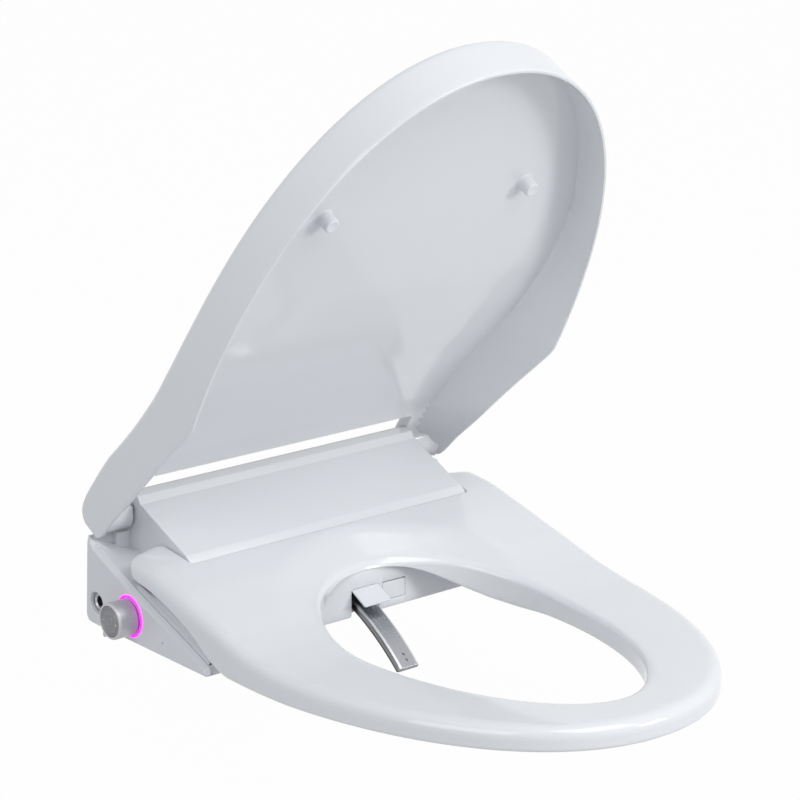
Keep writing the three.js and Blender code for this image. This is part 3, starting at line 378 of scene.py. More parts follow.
class Shading:
    # one material or the world, built node by node
    def __init__(self, name=None, world=None):
        self.holder = world or bpy.data.materials.new(name)
        self.holder.use_nodes = True
        self.tree = self.holder.node_tree
        self.tree.nodes.clear()
        self.output = self.tree.nodes.new("ShaderNodeOutputWorld" if world else "ShaderNodeOutputMaterial")

    def node(self, kind, settings=None, values=None, output=0):
        made = self.tree.nodes.new(kind)
        for key, value in (settings or {}).items():
            if key == "stops":
                ramp = made.color_ramp
                while len(ramp.elements) < len(value):
                    ramp.elements.new(0.5)
                for element, (place, colour) in zip(ramp.elements, value):
                    element.position = place
                    element.color = (*colour, 1)
            else:
                setattr(made, key, value)
        for key, value in (values or {}).items():
            socket = made.inputs[key]
            if isinstance(value, Wire):
                self.tree.links.new(value.socket, socket)
            elif isinstance(value, tuple) and len(value) == 3 and socket.type == "RGBA":
                socket.default_value = (*value, 1)
            else:
                socket.default_value = value
        return Wire(self, made.outputs[output])

    def everyOutput(self, kind, values=None):
        return {socket.name: Wire(self, socket) for socket in self.node(kind, None, values).socket.node.outputs}

    def place(self):
        return self.node("ShaderNodeTexCoord", output="Object")

    def stretched(self, scale):
        return self.node("ShaderNodeMapping", None, {"Vector": self.place(), "Scale": scale})

    def noise(self, scale, detail=2.0, roughness=0.5, at=None):
        return self.node("ShaderNodeTexNoise", {"noise_dimensions": "3D"},
                         {"Vector": at or self.place(), "Scale": scale, "Detail": detail, "Roughness": roughness})

    def between(self, share, first, second):
        # a colour part of the way from first to second
        return self.node("ShaderNodeMix", {"data_type": "RGBA"}, {0: share, 6: first, 7: second}, output=2)

    def bumps(self, height, strength, distance):
        return self.node("ShaderNodeBump", None, {"Strength": strength, "Distance": distance, "Height": height})

    def seenPlainly(self):
        # 1 for what the camera sees itself, through clear things or in shiny ones, otherwise 0
        rays = self.everyOutput("ShaderNodeLightPath")
        seen = rays["Is Camera Ray"]
        for kind in ("Is Transmission Ray", "Is Glossy Ray"):
            seen = seen.sum("MAXIMUM", seen, rays[kind])
        return seen

    def surface(self, share, first, second):
        # a blend of two shaders as the final surface
        mixed = self.node("ShaderNodeMixShader", None, {0: share, 1: first, 2: second})
        return self.showAs(mixed)

    def showAs(self, last):
        self.tree.links.new(last.socket, self.output.inputs["Surface"])
        return self.holder

    def finish(self, **sockets):
        values = {key.replace("_", " "): value for key, value in sockets.items()}
        return self.showAs(self.node("ShaderNodeBsdfPrincipled", None, values))


# ---- finishes ----

plasticLook = dict(
    gloss=((0.70, 0.712, 0.735), (0.722, 0.734, 0.755), 0.10, 0.16),
    satin=((0.68, 0.693, 0.72), (0.705, 0.718, 0.742), 0.28, 0.38),
    soft=((0.74, 0.755, 0.78), (0.77, 0.785, 0.805), 0.50, 0.60),
    grey=((0.30, 0.31, 0.33), (0.34, 0.35, 0.37), 0.42, 0.55),
    dark=((0.022, 0.024, 0.028), (0.032, 0.034, 0.038), 0.40, 0.55),
)


def mouldedPlastic(name, look, coat=0.0, grain=0.00002):
    # faint cloudiness in the colour, slight orange peel in the skin
    low, high, smoothest, dullest = plasticLook[look]
    shading = Shading(name)
    cloud = shading.noise(9.0, 3.0)
    fine = shading.noise(160.0, 2.0)
    peel = shading.noise(620.0, 2.0)
    return shading.finish(
        Base_Color=shading.between(cloud, low, high),
        Roughness=smoothest + (dullest - smoothest) * (0.6 * cloud + 0.4 * fine),
        IOR=1.49,
        Coat_Weight=coat,
        Coat_Roughness=0.06,
        Normal=shading.bumps(peel, 0.25, grain),
    )


def brushedMetal(name, low, high, smoothest, dullest, stretch):
    # fine lines along one direction of the piece
    shading = Shading(name)
    brush = shading.noise(1.0, 3.0, 0.6, shading.stretched(stretch))
    wear = shading.noise(45.0, 2.0)
    return shading.finish(
        Base_Color=shading.between(0.6 * brush + 0.4 * wear, low, high),
        Metallic=1.0,
        Roughness=smoothest + (dullest - smoothest) * brush,
        Normal=shading.bumps(brush, 0.18, 0.00002),
    )


def castMetal(name, low, high, roughness, metallic=1.0):
    shading = Shading(name)
    cloud = shading.noise(60.0, 3.0)
    return shading.finish(
        Base_Color=shading.between(cloud, low, high),
        Metallic=metallic,
        Roughness=roughness + 0.12 * cloud,
        Normal=shading.bumps(shading.noise(900.0), 0.15, 0.00002),
    )


def circuitBoard(name):
    shading = Shading(name)
    weave = shading.node("ShaderNodeTexBrick", {"offset": 0.5},
                         {"Vector": shading.place(), "Scale": 220.0, "Mortar Size": 0.03}, output=1)
    cloud = shading.noise(40.0)
    return shading.finish(
        Base_Color=shading.between(0.7 * cloud + 0.3 * weave, (0.012, 0.085, 0.04), (0.02, 0.14, 0.07)),
        Roughness=0.38 + 0.15 * cloud,
    )


def heaterFoil(name):
    shading = Shading(name)
    tracks = shading.node("ShaderNodeTexWave", {"wave_type": "BANDS"},
                          {"Vector": shading.place(), "Scale": 60.0, "Distortion": 1.0}, output=1)
    return shading.finish(
        Base_Color=shading.between(tracks, (0.34, 0.17, 0.03), (0.48, 0.27, 0.07)),
        Roughness=0.35 + 0.2 * tracks,
    )


def glowingRing(name, knob):
    # brighter towards its inner edge, with a darker thread in the middle
    shading = Shading(name)
    away = shading.node("ShaderNodeVectorMath", {"operation": "SUBTRACT"},
                        {0: shading.place(), 1: (0.0, knob["y"] * mm, knob["z"] * mm)})
    parts = shading.everyOutput("ShaderNodeSeparateXYZ", {0: away})
    y, z = parts["Y"], parts["Z"]
    radius = (y * y + z * z) ** 0.5 / mm
    band = shading.node("ShaderNodeValToRGB",
                        {"stops": knob["glow"]},
                        {0: (radius - knob["ringInner"]) / (knob["ringOuter"] - knob["ringInner"])})
    return shading.finish(
        Base_Color=band,
        Roughness=0.4,
        Emission_Color=band,
        Emission_Strength=1.0,
    )


def tubeWithPaintedHighlight(name, look):
    # brushed along its length, with a painted highlight as a lighter band on the two bevels, darker down its sides
    shading = Shading(name)
    across = shading.everyOutput("ShaderNodeSeparateXYZ", {0: shading.place()})["X"]
    away = across.sum("ABSOLUTE", across - look["x"] * mm, 0.0) / mm
    # the light part of this band, on the bevels, is a painted highlight
    band = shading.node("ShaderNodeValToRGB", {"stops": look["bands"]}, {0: away / look["half"]})
    brush = shading.noise(1.0, 3.0, 0.6, shading.stretched(brushStretch))
    return shading.finish(
        Base_Color=shading.between(0.22 * brush, band, (0.25, 0.255, 0.27)),
        Metallic=1.0,
        Roughness=0.22 + 0.12 * brush,
        Normal=shading.bumps(brush, 0.15, 0.00002),
    )


ringLook = dict(
    y=-51.3, z=22.8, ringInner=15.6, ringOuter=17.9, base=-188.2,
    glow=[(0.0, (0.95, 0.02, 0.9)), (0.38, (1.0, 0.0, 0.95)), (0.55, (0.62, 0.0, 0.58)),
          (0.72, (1.0, 0.03, 0.98)), (1.0, (1.0, 0.14, 0.93))],
)
tubeLook = dict(
    x=1.3, half=10.5,
    # the light stops from 0.775 to 0.93 are a painted highlight on the two bevels
    bands=[(0.0, (0.40, 0.41, 0.44)), (0.745, (0.42, 0.43, 0.46)), (0.775, (0.86, 0.87, 0.89)),
           (0.93, (0.80, 0.81, 0.83)), (0.965, (0.34, 0.345, 0.36)), (1.0, (0.22, 0.225, 0.24))],
)
brushStretch = (700.0, 18.0, 18.0)

finishes = dict(
    white_gloss=mouldedPlastic("gloss white plastic", "gloss", coat=0.25),
    white_satin=mouldedPlastic("satin white plastic", "satin"),
    soft_white=mouldedPlastic("soft white rubber", "soft", grain=0.00004),
    grey_plastic=mouldedPlastic("grey plastic", "grey", grain=0.00004),
    dark_plastic=mouldedPlastic("dark plastic", "dark", grain=0.00004),
    steel=brushedMetal("stainless steel", (0.30, 0.31, 0.33), (0.40, 0.41, 0.43), 0.24, 0.36, brushStretch),
    knob_metal=castMetal("satin knob metal", (0.48, 0.47, 0.505), (0.54, 0.53, 0.565), 0.42, 0.7),
    tube=tubeWithPaintedHighlight("tube with painted highlight", tubeLook),
    # a darker copy of the knob metal for the knob's face: painted shade
    knob_face=castMetal("knob metal with painted shade", (0.20, 0.203, 0.22), (0.25, 0.253, 0.27), 0.34),
    inlet_metal=castMetal("inlet metal", (0.42, 0.43, 0.45), (0.52, 0.53, 0.55), 0.25),
    brass=castMetal("brass", (0.45, 0.28, 0.08), (0.58, 0.38, 0.13), 0.25),
    board=circuitBoard("circuit board"),
    heater_foil=heaterFoil("heater foil"),
    light=glowingRing("magenta light", ringLook),
)

for part in record["subparts"]:
    node = frame["nodes"][part["node"]]
    node.data.materials.clear()
    node.data.materials.append(finishes[part["material_slot"]])
print("finishes made")


# ---- seat ----

seatLook = dict(
    halfWidth=188.0, noseY=-480.6, widestY=-178.0, power=2.1,
    earY=-41.8, earInnerX=148.2, notchY=-82.0,
    holeHalfWidth=104.4, holeNoseY=-433.2, holeWidestY=-237.2, holeRearY=-121.8, holePower=1.93,
    crest=curveOf((-480, 25.0), (-330, 25.5), (-262, 27.0), (-217, 31.5), (-188, 37.8), (-164, 44.8), (-139, 52.0),
                  (-117, 58.6), (-101, 62.6), (-73, 69.6), (-41, 73.4)),
    under=curveOf((-480, 5.5), (-182, 5.5), (-168, 8.0), (-155, 13.5), (-136, 25.5), (-116, 37.5), (-88, 48.7),
                  (-50, 55.5)),
    holeEdge=curveOf((-433, 19.5), (-260, 20.5), (-200, 27.0), (-150, 36.0), (-121, 38.7)),
    edgeReach=curveOf((-480, 11.0), (-188, 11.0), (-117, 15.0), (-45, 18.0)),
    edgeDrop=curveOf((-480, 9.0), (-188, 10.0), (-117, 13.0), (-60, 12.0)),
    rearReach=9.0, rearDrop=6.0, innerReach=1.6, innerDrop=1.1, holeLift=5.6, holeLiftReach=30.0,
    dishWidth=38.0, holeReach=7.0, holeDrop=4.0, underRound=2.4,
    sideRound=curveOf((-250, 2.4), (-190, 6.5), (-150, 9.0), (-40, 9.0)),
    heaterInset=16.0, heaterCut=14.0, heaterGrow=1.11, heaterTop=3.4, heaterUnder=4.0,
    spacing=4.0, edgeSpacing=3.0,
)


def seatOutline(look, grow=0.0):
    half = halfOval(look["halfWidth"] + grow, look["noseY"] - grow, look["widestY"], look["power"])
    rear = rounded([(look["halfWidth"] + grow, look["widestY"], 0),
                    (look["halfWidth"] + grow, look["earY"], 17.0),
                    (look["earInnerX"], look["earY"], 5.0),
                    (look["earInnerX"], look["notchY"], 3.0),
                    (0.0, look["notchY"], 0)])
    return mirrored(np.vstack([half, rear[1:]]), look["edgeSpacing"])


def seatHole(look):
    front, rear = [halfOval(look["holeHalfWidth"], tipY, look["holeWidestY"], look["holePower"])
                   for tipY in (look["holeNoseY"], look["holeRearY"])]
    return mirrored(np.vstack([front, rear[::-1][1:]]), look["edgeSpacing"])


def seatHeights(look, points, outer, hole):
    # top and underside at some places: a crest along the ring, dished towards the hole and rounded at its edges
    y = points[:, 1]
    fromOuter = farFrom(points, outer)
    side = halfOval(look["halfWidth"], look["noseY"], look["widestY"], look["power"])
    side = sideLine(side, look["halfWidth"], look["edgeSpacing"])
    sideShare = np.clip(1 - farFrom(points, side) / look["edgeReach"](y), 0, 1)
    rearShare = np.clip(1 - (look["earY"] - y) / look["rearReach"], 0, 1)
    innerHalf = ease((np.abs(points[:, 0]) - look["earInnerX"]) / 30)
    rearShare = rearShare * (0.25 + 0.75 * innerHalf)
    edgeShare = np.clip(np.hypot(sideShare, rearShare), 0, 1)
    fromHole = farFrom(points, hole)
    share = np.clip(fromHole / look["dishWidth"], 0, 1)
    bowl = 0.72 * (1 - (1 - share) ** 2) + 0.28 * ease(share)
    top = look["holeEdge"](y) + look["holeDrop"] + (look["crest"](y) - look["holeEdge"](y) - look["holeDrop"]) * bowl
    top -= roundOff(fromHole, look["holeReach"], look["holeDrop"])
    rearPart = rearShare ** 2 / np.maximum(edgeShare, 0.01) ** 2
    drop = look["edgeDrop"](y) + (look["rearDrop"] - look["edgeDrop"](y)) * rearPart
    top -= drop * (1 - np.sqrt(1 - edgeShare ** 2))
    top -= roundOff(fromOuter, look["innerReach"], look["innerDrop"])
    under = look["under"](y)
    under = under + look["holeLift"] * ease((y + 210) / 50) * (1 - ease(fromHole / look["holeLiftReach"]))
    sideRound = look["sideRound"](y)
    lift = np.minimum(roundOff(fromOuter, sideRound, sideRound * 0.8 + 0.5)
                      + roundOff(fromHole, look["underRound"], look["underRound"]), (top - under) * 0.4)
    return top, under + lift


def makeSeat(look):
    outer = seatOutline(look)
    hole = seatHole(look)
    area = Area(outer, [hole], [[0.3, 0.9, 1.8, 3.0, 4.6, 6.6, 9.0, 11.8, 15.0, 18.5, 22.0],
                                [0.3, 0.9, 1.8, 3.0, 4.6, 6.8, 9.5, 13.0]], look["spacing"])
    top, under = seatHeights(look, area.points, outer, hole)
    return finished(area.slab(top, under, 8).piece("seat_body"), "seat", "white_gloss", "seat_top_shell")


def ringArea(look, inset, cut, grow, insets):
    # the ring part of the seat in front of its notch, a little inside its edges
    line = seatOutline(look, -inset)
    line = evenly(line[line[:, 1] < look["notchY"] - cut], 4.0)
    middle = np.array([0.0, look["holeWidestY"]])
    ring = evenly(middle + (seatHole(look) - middle) * grow, 4.0)
    return Area(line, [ring], [insets, insets], 7.0)


def makeHeater(look):
    # thin foil just under the top of the seat
    area = ringArea(look, look["heaterInset"], look["heaterCut"], look["heaterGrow"], [])
    top, _ = seatHeights(look, area.points, seatOutline(look), seatHole(look))
    heater = area.slab(top - look["heaterTop"], top - look["heaterUnder"], 1).piece("heater_sheet", 40)
    return finished(heater, "seat", "heater_foil", "seat_heater")


seatPiece = makeSeat(seatLook)
makeHeater(seatLook)
print("seat made:", len(seatPiece.data.polygons), "faces")


# ---- lid, drawn level and then swung open about its hinge ----

lidHinge = jointNamed("lid_hinge")
lidLook = dict(
    openAngle=61.25, hingeZ=lidHinge["pos_m"][2] / mm,
    halfWidth=190.8, noseY=-483.6, widestY=-178.0, power=2.1,
    earInnerX=148.4, earY=19.5, rearHalfWidth=184.6, cornerRadius=4.5, rearY=-24.5, spacing=4.5, edgeSpacing=3.0,
    rim=curveOf((-485, 18.4), (-166, 18.4), (-160, 19.6), (-143, 25.6), (-113, 37.2), (-80, 49.3), (-46, 61.0),
                (-13.5, 73.3), (0, 77.4), (8, 79.9), (13, 82.0), (17, 85.0), (19.5, 89.5)),
    plate=curveOf((-485, 49.6), (-335, 49.6), (-250, 51.7), (-204, 57.2), (-160, 66.5), (-119, 77.3), (-57, 93.8),
                  (-24.5, 101.0), (0, 101.5), (12, 98.0), (19.5, 92.5)),
    top=curveOf((-485, 60.0), (-300, 61.5), (-250, 63.0), (-204, 66.5), (-160, 73.0), (-119, 83.5), (-77, 97.0),
                (-57, 104.0), (-24.5, 111.2), (-8, 114.4), (0, 115.2), (7, 115.0),
                (10, 113.8), (14, 110.8), (17, 106.6), (18.8, 101.0), (19.5, 95.4)),
    crown=1.6, rimWidth=2.4, rimRound=0.9, cornerBlend=1.4,
    wallLean=curveOf((-485, 4.4), (-310, 4.8), (-267, 8.6), (-235, 12.8), (-175, 19.5), (-110, 23.5), (-20, 25.0),
                     (20, 16.0)),
    edgeRound=curveOf((-485, 8.0), (-120, 8.0), (-60, 6.0), (-30, 4.5), (0, 3.6), (20, 3.0)),
    rearReach=2.5, rearDrop=2.0, barrelRadius=11.8, barrelY=10.3, barrelZ=98.3, barrelInnerX=149.5, barrelOuterX=178.0,
    barrelCover=1.6, sweep=19.5, axisRadius=2.8, axleRadius=1.9, axleIn=13.0, axleOut=8.0,
    bumperX=102.3, bumperY=-337.0, bumperRadius=6.5, bumperEnd=37.5,
)


def swungOpen(points, look=lidLook):
    a = math.radians(look["openAngle"])
    x, y, z = np.moveaxis(np.asarray(points, float), -1, 0)
    z = z - look["hingeZ"]
    return np.stack([x, y * math.cos(a) + z * math.sin(a), look["hingeZ"] - y * math.sin(a) + z * math.cos(a)], -1)


def smallerOf(a, b, blend):
    # the smaller of two heights, with the crease between them softened
    share = np.clip(0.5 + 0.5 * (b - a) / blend, 0, 1)
    return b * (1 - share) + a * share - blend * share * (1 - share)


def makeLid(look):
    half = halfOval(look["halfWidth"], look["noseY"], look["widestY"], look["power"])
    rear = rounded([(look["halfWidth"], look["widestY"], 0),
                    (look["rearHalfWidth"], look["earY"], look["cornerRadius"]),
                    (look["earInnerX"], look["earY"], 2.0), (look["earInnerX"], look["rearY"], 2.0),
                    (0.0, look["rearY"], 0)])
    outline = mirrored(np.vstack([half, rear[1:]]), look["edgeSpacing"])
    taper = (look["halfWidth"] - look["rearHalfWidth"]) / (look["earY"] - look["widestY"])
    skirt = sideLine(half, look["halfWidth"] - taper * (farBehind - look["widestY"]), look["edgeSpacing"])
    lean = look["wallLean"]
    insets = [0.25, 0.8, 1.5, look["rimWidth"], look["rimWidth"] + 0.6, 4.0, 5.6, 8.0,
              lambda y: lean(y) * 0.5 + 5.2, lambda y: lean(y) * 0.75 + 5.0, lambda y: lean(y) - 0.5,
              lambda y: lean(y) + 0.9, lambda y: lean(y) + 3.4]
    area = Area(outline, [], [insets], look["spacing"])
    x, y = area.points.T
    fromSkirt = farFrom(area.points, skirt)
    fromEdge = farFrom(area.points, outline)
    top = look["top"](y) + look["crown"] * (1 - (x / look["halfWidth"]) ** 2) * ease((-y - 20) / 60)
    top -= roundOff(fromSkirt, look["edgeRound"](y), look["edgeRound"](y))
    top -= roundOff(fromEdge, look["rearReach"], look["rearDrop"]) * (fromSkirt > look["edgeRound"](y))
    rim, plate = look["rim"](y), look["plate"](y)
    wall = rim + (plate - rim) * (fromSkirt - look["rimWidth"]) / (lean(y) - look["rimWidth"])
    under = smallerOf(np.maximum(wall, rim), plate, look["cornerBlend"])
    under += roundOff(fromSkirt, look["rimRound"], look["rimRound"])
    under = np.minimum(under, top - 0.5)
    shape = area.slab(top, under, 8)
    shape.points = swungOpen(shape.points)
    return finished(shape.piece("lid_panel", 28), "lid", "white_gloss", "lid_shell", "lid_liner")


def barrelRing(look, x, grow):
    # round below and in front, drawn in to the hinge axis above and kept within its sweep behind
    away = np.stack([np.cos(ringOf(72)), np.sin(ringOf(72))], -1)
    barrel = np.array([look["barrelY"], look["barrelZ"] - look["hingeZ"]])
    radius, core = look["barrelRadius"] + grow, look["axisRadius"] + min(grow, 0)
    onBarrel = away @ barrel + radius > core
    line = np.where(onBarrel[:, None], barrel + away * max(radius, 0.1), away * max(core, 0.05))
    far = np.linalg.norm(line, axis=1)
    line = line * np.minimum(1, look["sweep"] / np.maximum(far, 0.1))[:, None]
    line = np.minimum(line + [0, look["hingeZ"]], [look["earY"] - 1.0, 200.0])
    line[:, 1] = np.minimum(line[:, 1], look["top"](line[:, 0]) - look["barrelCover"])
    return np.column_stack([np.full(len(line), x), line])


def makeBarrels(look):
    inner, outer = look["barrelInnerX"], look["barrelOuterX"]
    steps = [(inner, -0.7), (inner + 0.25, -0.25), (inner + 0.8, 0), (outer - 9, 0), (outer - 6, 0.3),
             (outer - 3.5, 1.1), (outer - 1.5, 2.4), (outer, 4.0)]
    for side, label in sides:
        barrel = Shape().tube([swungOpen(barrelRing(look, side * x, grow)) for x, grow in steps])
        finished(barrel.piece("lid_barrel_" + label, 35), "lid", "white_gloss")
        start, end, radius = side * (inner - look["axleIn"]), side * (inner + look["axleOut"]), look["axleRadius"]
        profile = [(start, 0.1), (start, radius), (end, radius), (end, 0.1)]
        pin = turned("lid_axle_" + label, profile, (0, 0, look["hingeZ"]), "x", 24, 40)
        finished(pin, "lid", "steel", "lid_pin_" + label)


def makeLidBumpers(look):
    r, end, base = look["bumperRadius"], look["bumperEnd"], look["plate"](look["bumperY"]) + 0.5
    profile = [(base, r + 2.0), (base - 0.8, r + 0.7), (base - 2.0, r + 0.15), (end + 1.4, r - 0.2),
               (end + 0.5, r - 0.6), (end + 0.1, r - 1.3), (end, r - 1.9), (end + 0.25, r - 2.5), (end + 0.3, 0.1)]
    for side, label in sides:
        rows = lathe(profile, (side * look["bumperX"], look["bumperY"], 0), "z", 56)
        bumper = Shape().tube([swungOpen(row) for row in rows], (-1,)).piece("lid_bumper_" + label + "_soft", 50)
        finished(bumper, "lid", "soft_white", "lid_bumper_" + label)


makeLid(lidLook)
makeBarrels(lidLook)
makeLidBumpers(lidLook)
print("lid made")


# ---- base: case, side panels, front wall and cover ----

baseLook = dict(
    halfWidth=188.2, panelInnerX=185.6, caseHalfWidth=185.2, housingX=147.0, wall=2.5,
    rearY=14.0, frontY=-121.5, bottomZ=9.3, earFrontY=-152.0, earSplitY=-56.0,
    edge=curveOf((-156, 7.4), (-136.5, 15.4), (-102.9, 28.2), (-68.7, 40.6), (-33.9, 54.8), (1.5, 70.4), (8.5, 74.6)),
    bevel=curveOf((-156, 3.0), (-100, 3.6), (10, 4.4)), rightDrop=5.0, deckGap=1.5, fasciaShare=0.45, fasciaRise=0.5,
    block=dict(innerX=147.5, outerX=161.0, frontY=6.0, bottomZ=58.0, sweepY=0.0, sweepZ=94.3, sweepRadius=22.5),
    pit=dict(y=-60.0, z=63.35, radius=21.0, fadeX=179.0), hollowZ=58.0, wallInset=3.2,
    roof=[(-81.0, 54.0), (-76.0, 62.4), (-74.0, 66.8), (-10.4, 95.6), (-2.0, 98.2), (5.0, 98.6), (6.8, 100.5),
          (7.2, 106.4), (8.8, 105.4), (11.2, 100.6), (13.4, 95.0), (14.0, 91.5), (14.0, 9.3)],
    backPlate=[(11.4, 2.0), (11.4, 73.8), (12.0, 74.4), (13.2, 74.4), (13.4, 2.0)],
)

coverLook = dict(
    halfWidth=147.5, skirtWall=1.6, skirtGap=0.04,
    skirt=[(-77.0, 64.2), (-74.0, 68.6), (-10.2, 96.6), (-4.6, 102.0), (4.0, 102.6), (8.0, 101.6), (10.6, 98.6),
           (12.6, 94.0), (12.8, 57.0), (-70.0, 57.0)],
    side=[(-79.6, 62.8, 0), (-80.6, 66.6, 0.9), (-73.6, 71.6, 1.2), (-10.4, 99.2, 0.8), (-6.6, 105.4, 0.8),
          (5.8, 107.2, 2.2), (6.4, 100.0, 0), (-8.0, 95.4, 0), (-74.4, 66.4, 0), (-77.0, 63.0, 0)],
)


def sideExtrude(shape, profile, x0, x1):
    # a closed (y, z) outline stretched along X, with flat ends
    profile = np.asarray(profile, float)
    shape.tube([np.column_stack([np.full(len(profile), x), profile]) for x in (x0, x1)])


def thickened(line, thickness):
    # an open (y, z) line given a thickness on its lower side
    line = np.asarray(line, float)
    step = np.gradient(line, axis=0)
    normal = np.stack([step[:, 1], -step[:, 0]], -1)
    normal /= np.linalg.norm(normal, axis=1)[:, None]
    return np.vstack([line, (line + normal * thickness)[::-1]])


def makeCover(look):
    shape = Shape()
    sideExtrude(shape, rounded(look["side"], 5), -look["halfWidth"], look["halfWidth"])
    for side, _ in sides:
        sideExtrude(shape, look["skirt"], side * (look["halfWidth"] - look["skirtWall"]),
                    side * (look["halfWidth"] - look["skirtGap"]))
    cover = softEdges(shape.piece("cover_body", 24), 0.9, 3, 50)
    return finished(cover, "base", "white_gloss", "centre_cover")


def rightDropAt(look, y, side):
    # how much lower the right side's upper edge is than the left's
    return look["rightDrop"] * ease((y + 110) / 60) * (side > 0)


def earRows(look, side):
    # the top of one ear: a sloping fascia at its outer edge, then a deck under the seat or a hollow ledge behind it
    outer, inner = look["caseHalfWidth"], look["housingX"]
    rows = []
    split = look["earSplitY"]
    front, rear = np.linspace(look["earFrontY"], split, 50), np.linspace(split + 2, look["rearY"] - 1.2, 40)
    for y in np.concatenate([front, rear]):
        edge = float(look["edge"](y) - rightDropAt(look, y, side))
        deck = float(seatLook["under"](y)) - look["deckGap"]
        rise = max(deck - edge, 0.4)
        behind = float(ease((y - split) / 9))
        a = min(rise * look["fasciaShare"], 4.0)
        crease = edge + a * look["fasciaRise"]
        run = max(deck - crease, 0.2)
        last = outer - 3.4 - a - run
        line = [(outer - 1.2, edge - 1.6), (outer - 1.6, edge - 0.5), (outer - 2.2, edge + 0.2),
                (outer - 1.6 - a, crease), (outer - 2.2 - a, crease + 0.5),
                (outer - 1.6 - a - run, deck - 0.5), (outer - 2.2 - a - run, deck - 0.1), (last, deck)]
        line += [(last + (inner - last) * t, deck) for t in (0.15, 0.3, 0.45, 0.6, 0.75, 0.9, 1.0)]
        hollow = [line[0]]
        for k in range(len(line) - 1):
            hx = outer - 1.6 - (outer - 1.6 - inner) * (k / (len(line) - 2)) ** 1.15
            into = min((outer - hx) / (outer - inner), 1.0)
            hollow.append((hx, edge - 0.4 + (min(look["hollowZ"], edge - 1.0) - edge) * into ** 0.9))
        mixed = [((1 - behind) * x + behind * hx, (1 - behind) * z + behind * hz)
                 for (x, z), (hx, hz) in zip(line, hollow)]
        pit = look["pit"]
        reach = pit["radius"] ** 2 - (y - pit["y"]) ** 2
        floor = pit["z"] - math.sqrt(reach) if reach > 0 else 200.0
        mixed = [(x, z - max(z - floor, 0) * float(ease((pit["fadeX"] - x) / 6))) for x, z in mixed]
        rows.append([(side * x, y, z) for x, z in mixed])
    return np.array(rows)


def makeCase(look):
    shape = Shape()
    h, w, footZ = look["housingX"], look["wall"], 1.5
    frontY = look["frontY"] + look["wallInset"]
    roof = [(frontY, float(seatLook["under"](look["frontY"])) - 3.6)]
    roof += [(y, float(seatLook["under"](y)) - look["deckGap"]) for y in np.linspace(-112, -84, 8)]
    roof += look["roof"]
    sideExtrude(shape, thickened(roof, w), -h, h)
    for side, _ in sides:
        sideExtrude(shape, roof + [(frontY, look["bottomZ"])], side * (h - w), side * h)
        # the ear's deck and its edges, with a front sheet and an inner wall down to the bowl
        top = earRows(look, side)
        under = top - [0, 0, w]
        under[:, 0, 0] = side * look["caseHalfWidth"]
        foot = top[0] * [1, 1, 0] + [0, 0, footZ]
        for rows in (top, under, [top[0], under[0]], [top[-1], under[-1]], [top[0], foot]):
            shape.grid(rows)
        tongue = top[top[:, -1, 1] < look["frontY"] + 8][:, -1, 1:] - [0, 0.15]
        tongue = np.vstack([tongue, [(tongue[-1, 0], footZ), (tongue[0, 0], footZ)]])
        sideExtrude(shape, tongue, side * (h + 0.1), side * (h + 2.4))
        for column in (0, -1):
            shape.grid([top[:, column], under[:, column]])
    # the hinge blocks, hollowed for the lid's sweep, and the plates that close the back
    b, backY = look["block"], look["rearY"] - 0.6
    ys = np.linspace(b["frontY"], backY, 7)
    zs = b["sweepZ"] - np.sqrt(np.maximum(b["sweepRadius"] ** 2 - (ys - b["sweepY"]) ** 2, 0))
    line = list(zip(ys, zs)) + [(backY, b["bottomZ"]), (b["frontY"], b["bottomZ"])]
    for side, _ in sides:
        sideExtrude(shape, line, side * b["innerX"], side * b["outerX"])
        sideExtrude(shape, look["backPlate"], side * h, side * (look["caseHalfWidth"] - 1.4))
    case = softEdges(shape.piece("case_body", 28), 0.5, 2, 45)
    return finished(case, "base", "white_gloss", "upper_case")


def circle(y, z, radius, count):
    angles = ringOf(count)
    return np.stack([y + radius * np.cos(angles), z + radius * np.sin(angles)], -1)


def facing(shape, side):
    # a slab drawn in (y, z), stood up so that its top faces one side
    p = shape.points
    shape.points = np.column_stack([side * p[:, 2], p[:, 0], p[:, 1]])
    return shape


portLook = dict(y=-2.5, z=20.5, radius=9.2, glandRadius=6.3, pipRadius=0.9, pipY=-96.0, pipZ=12.2)


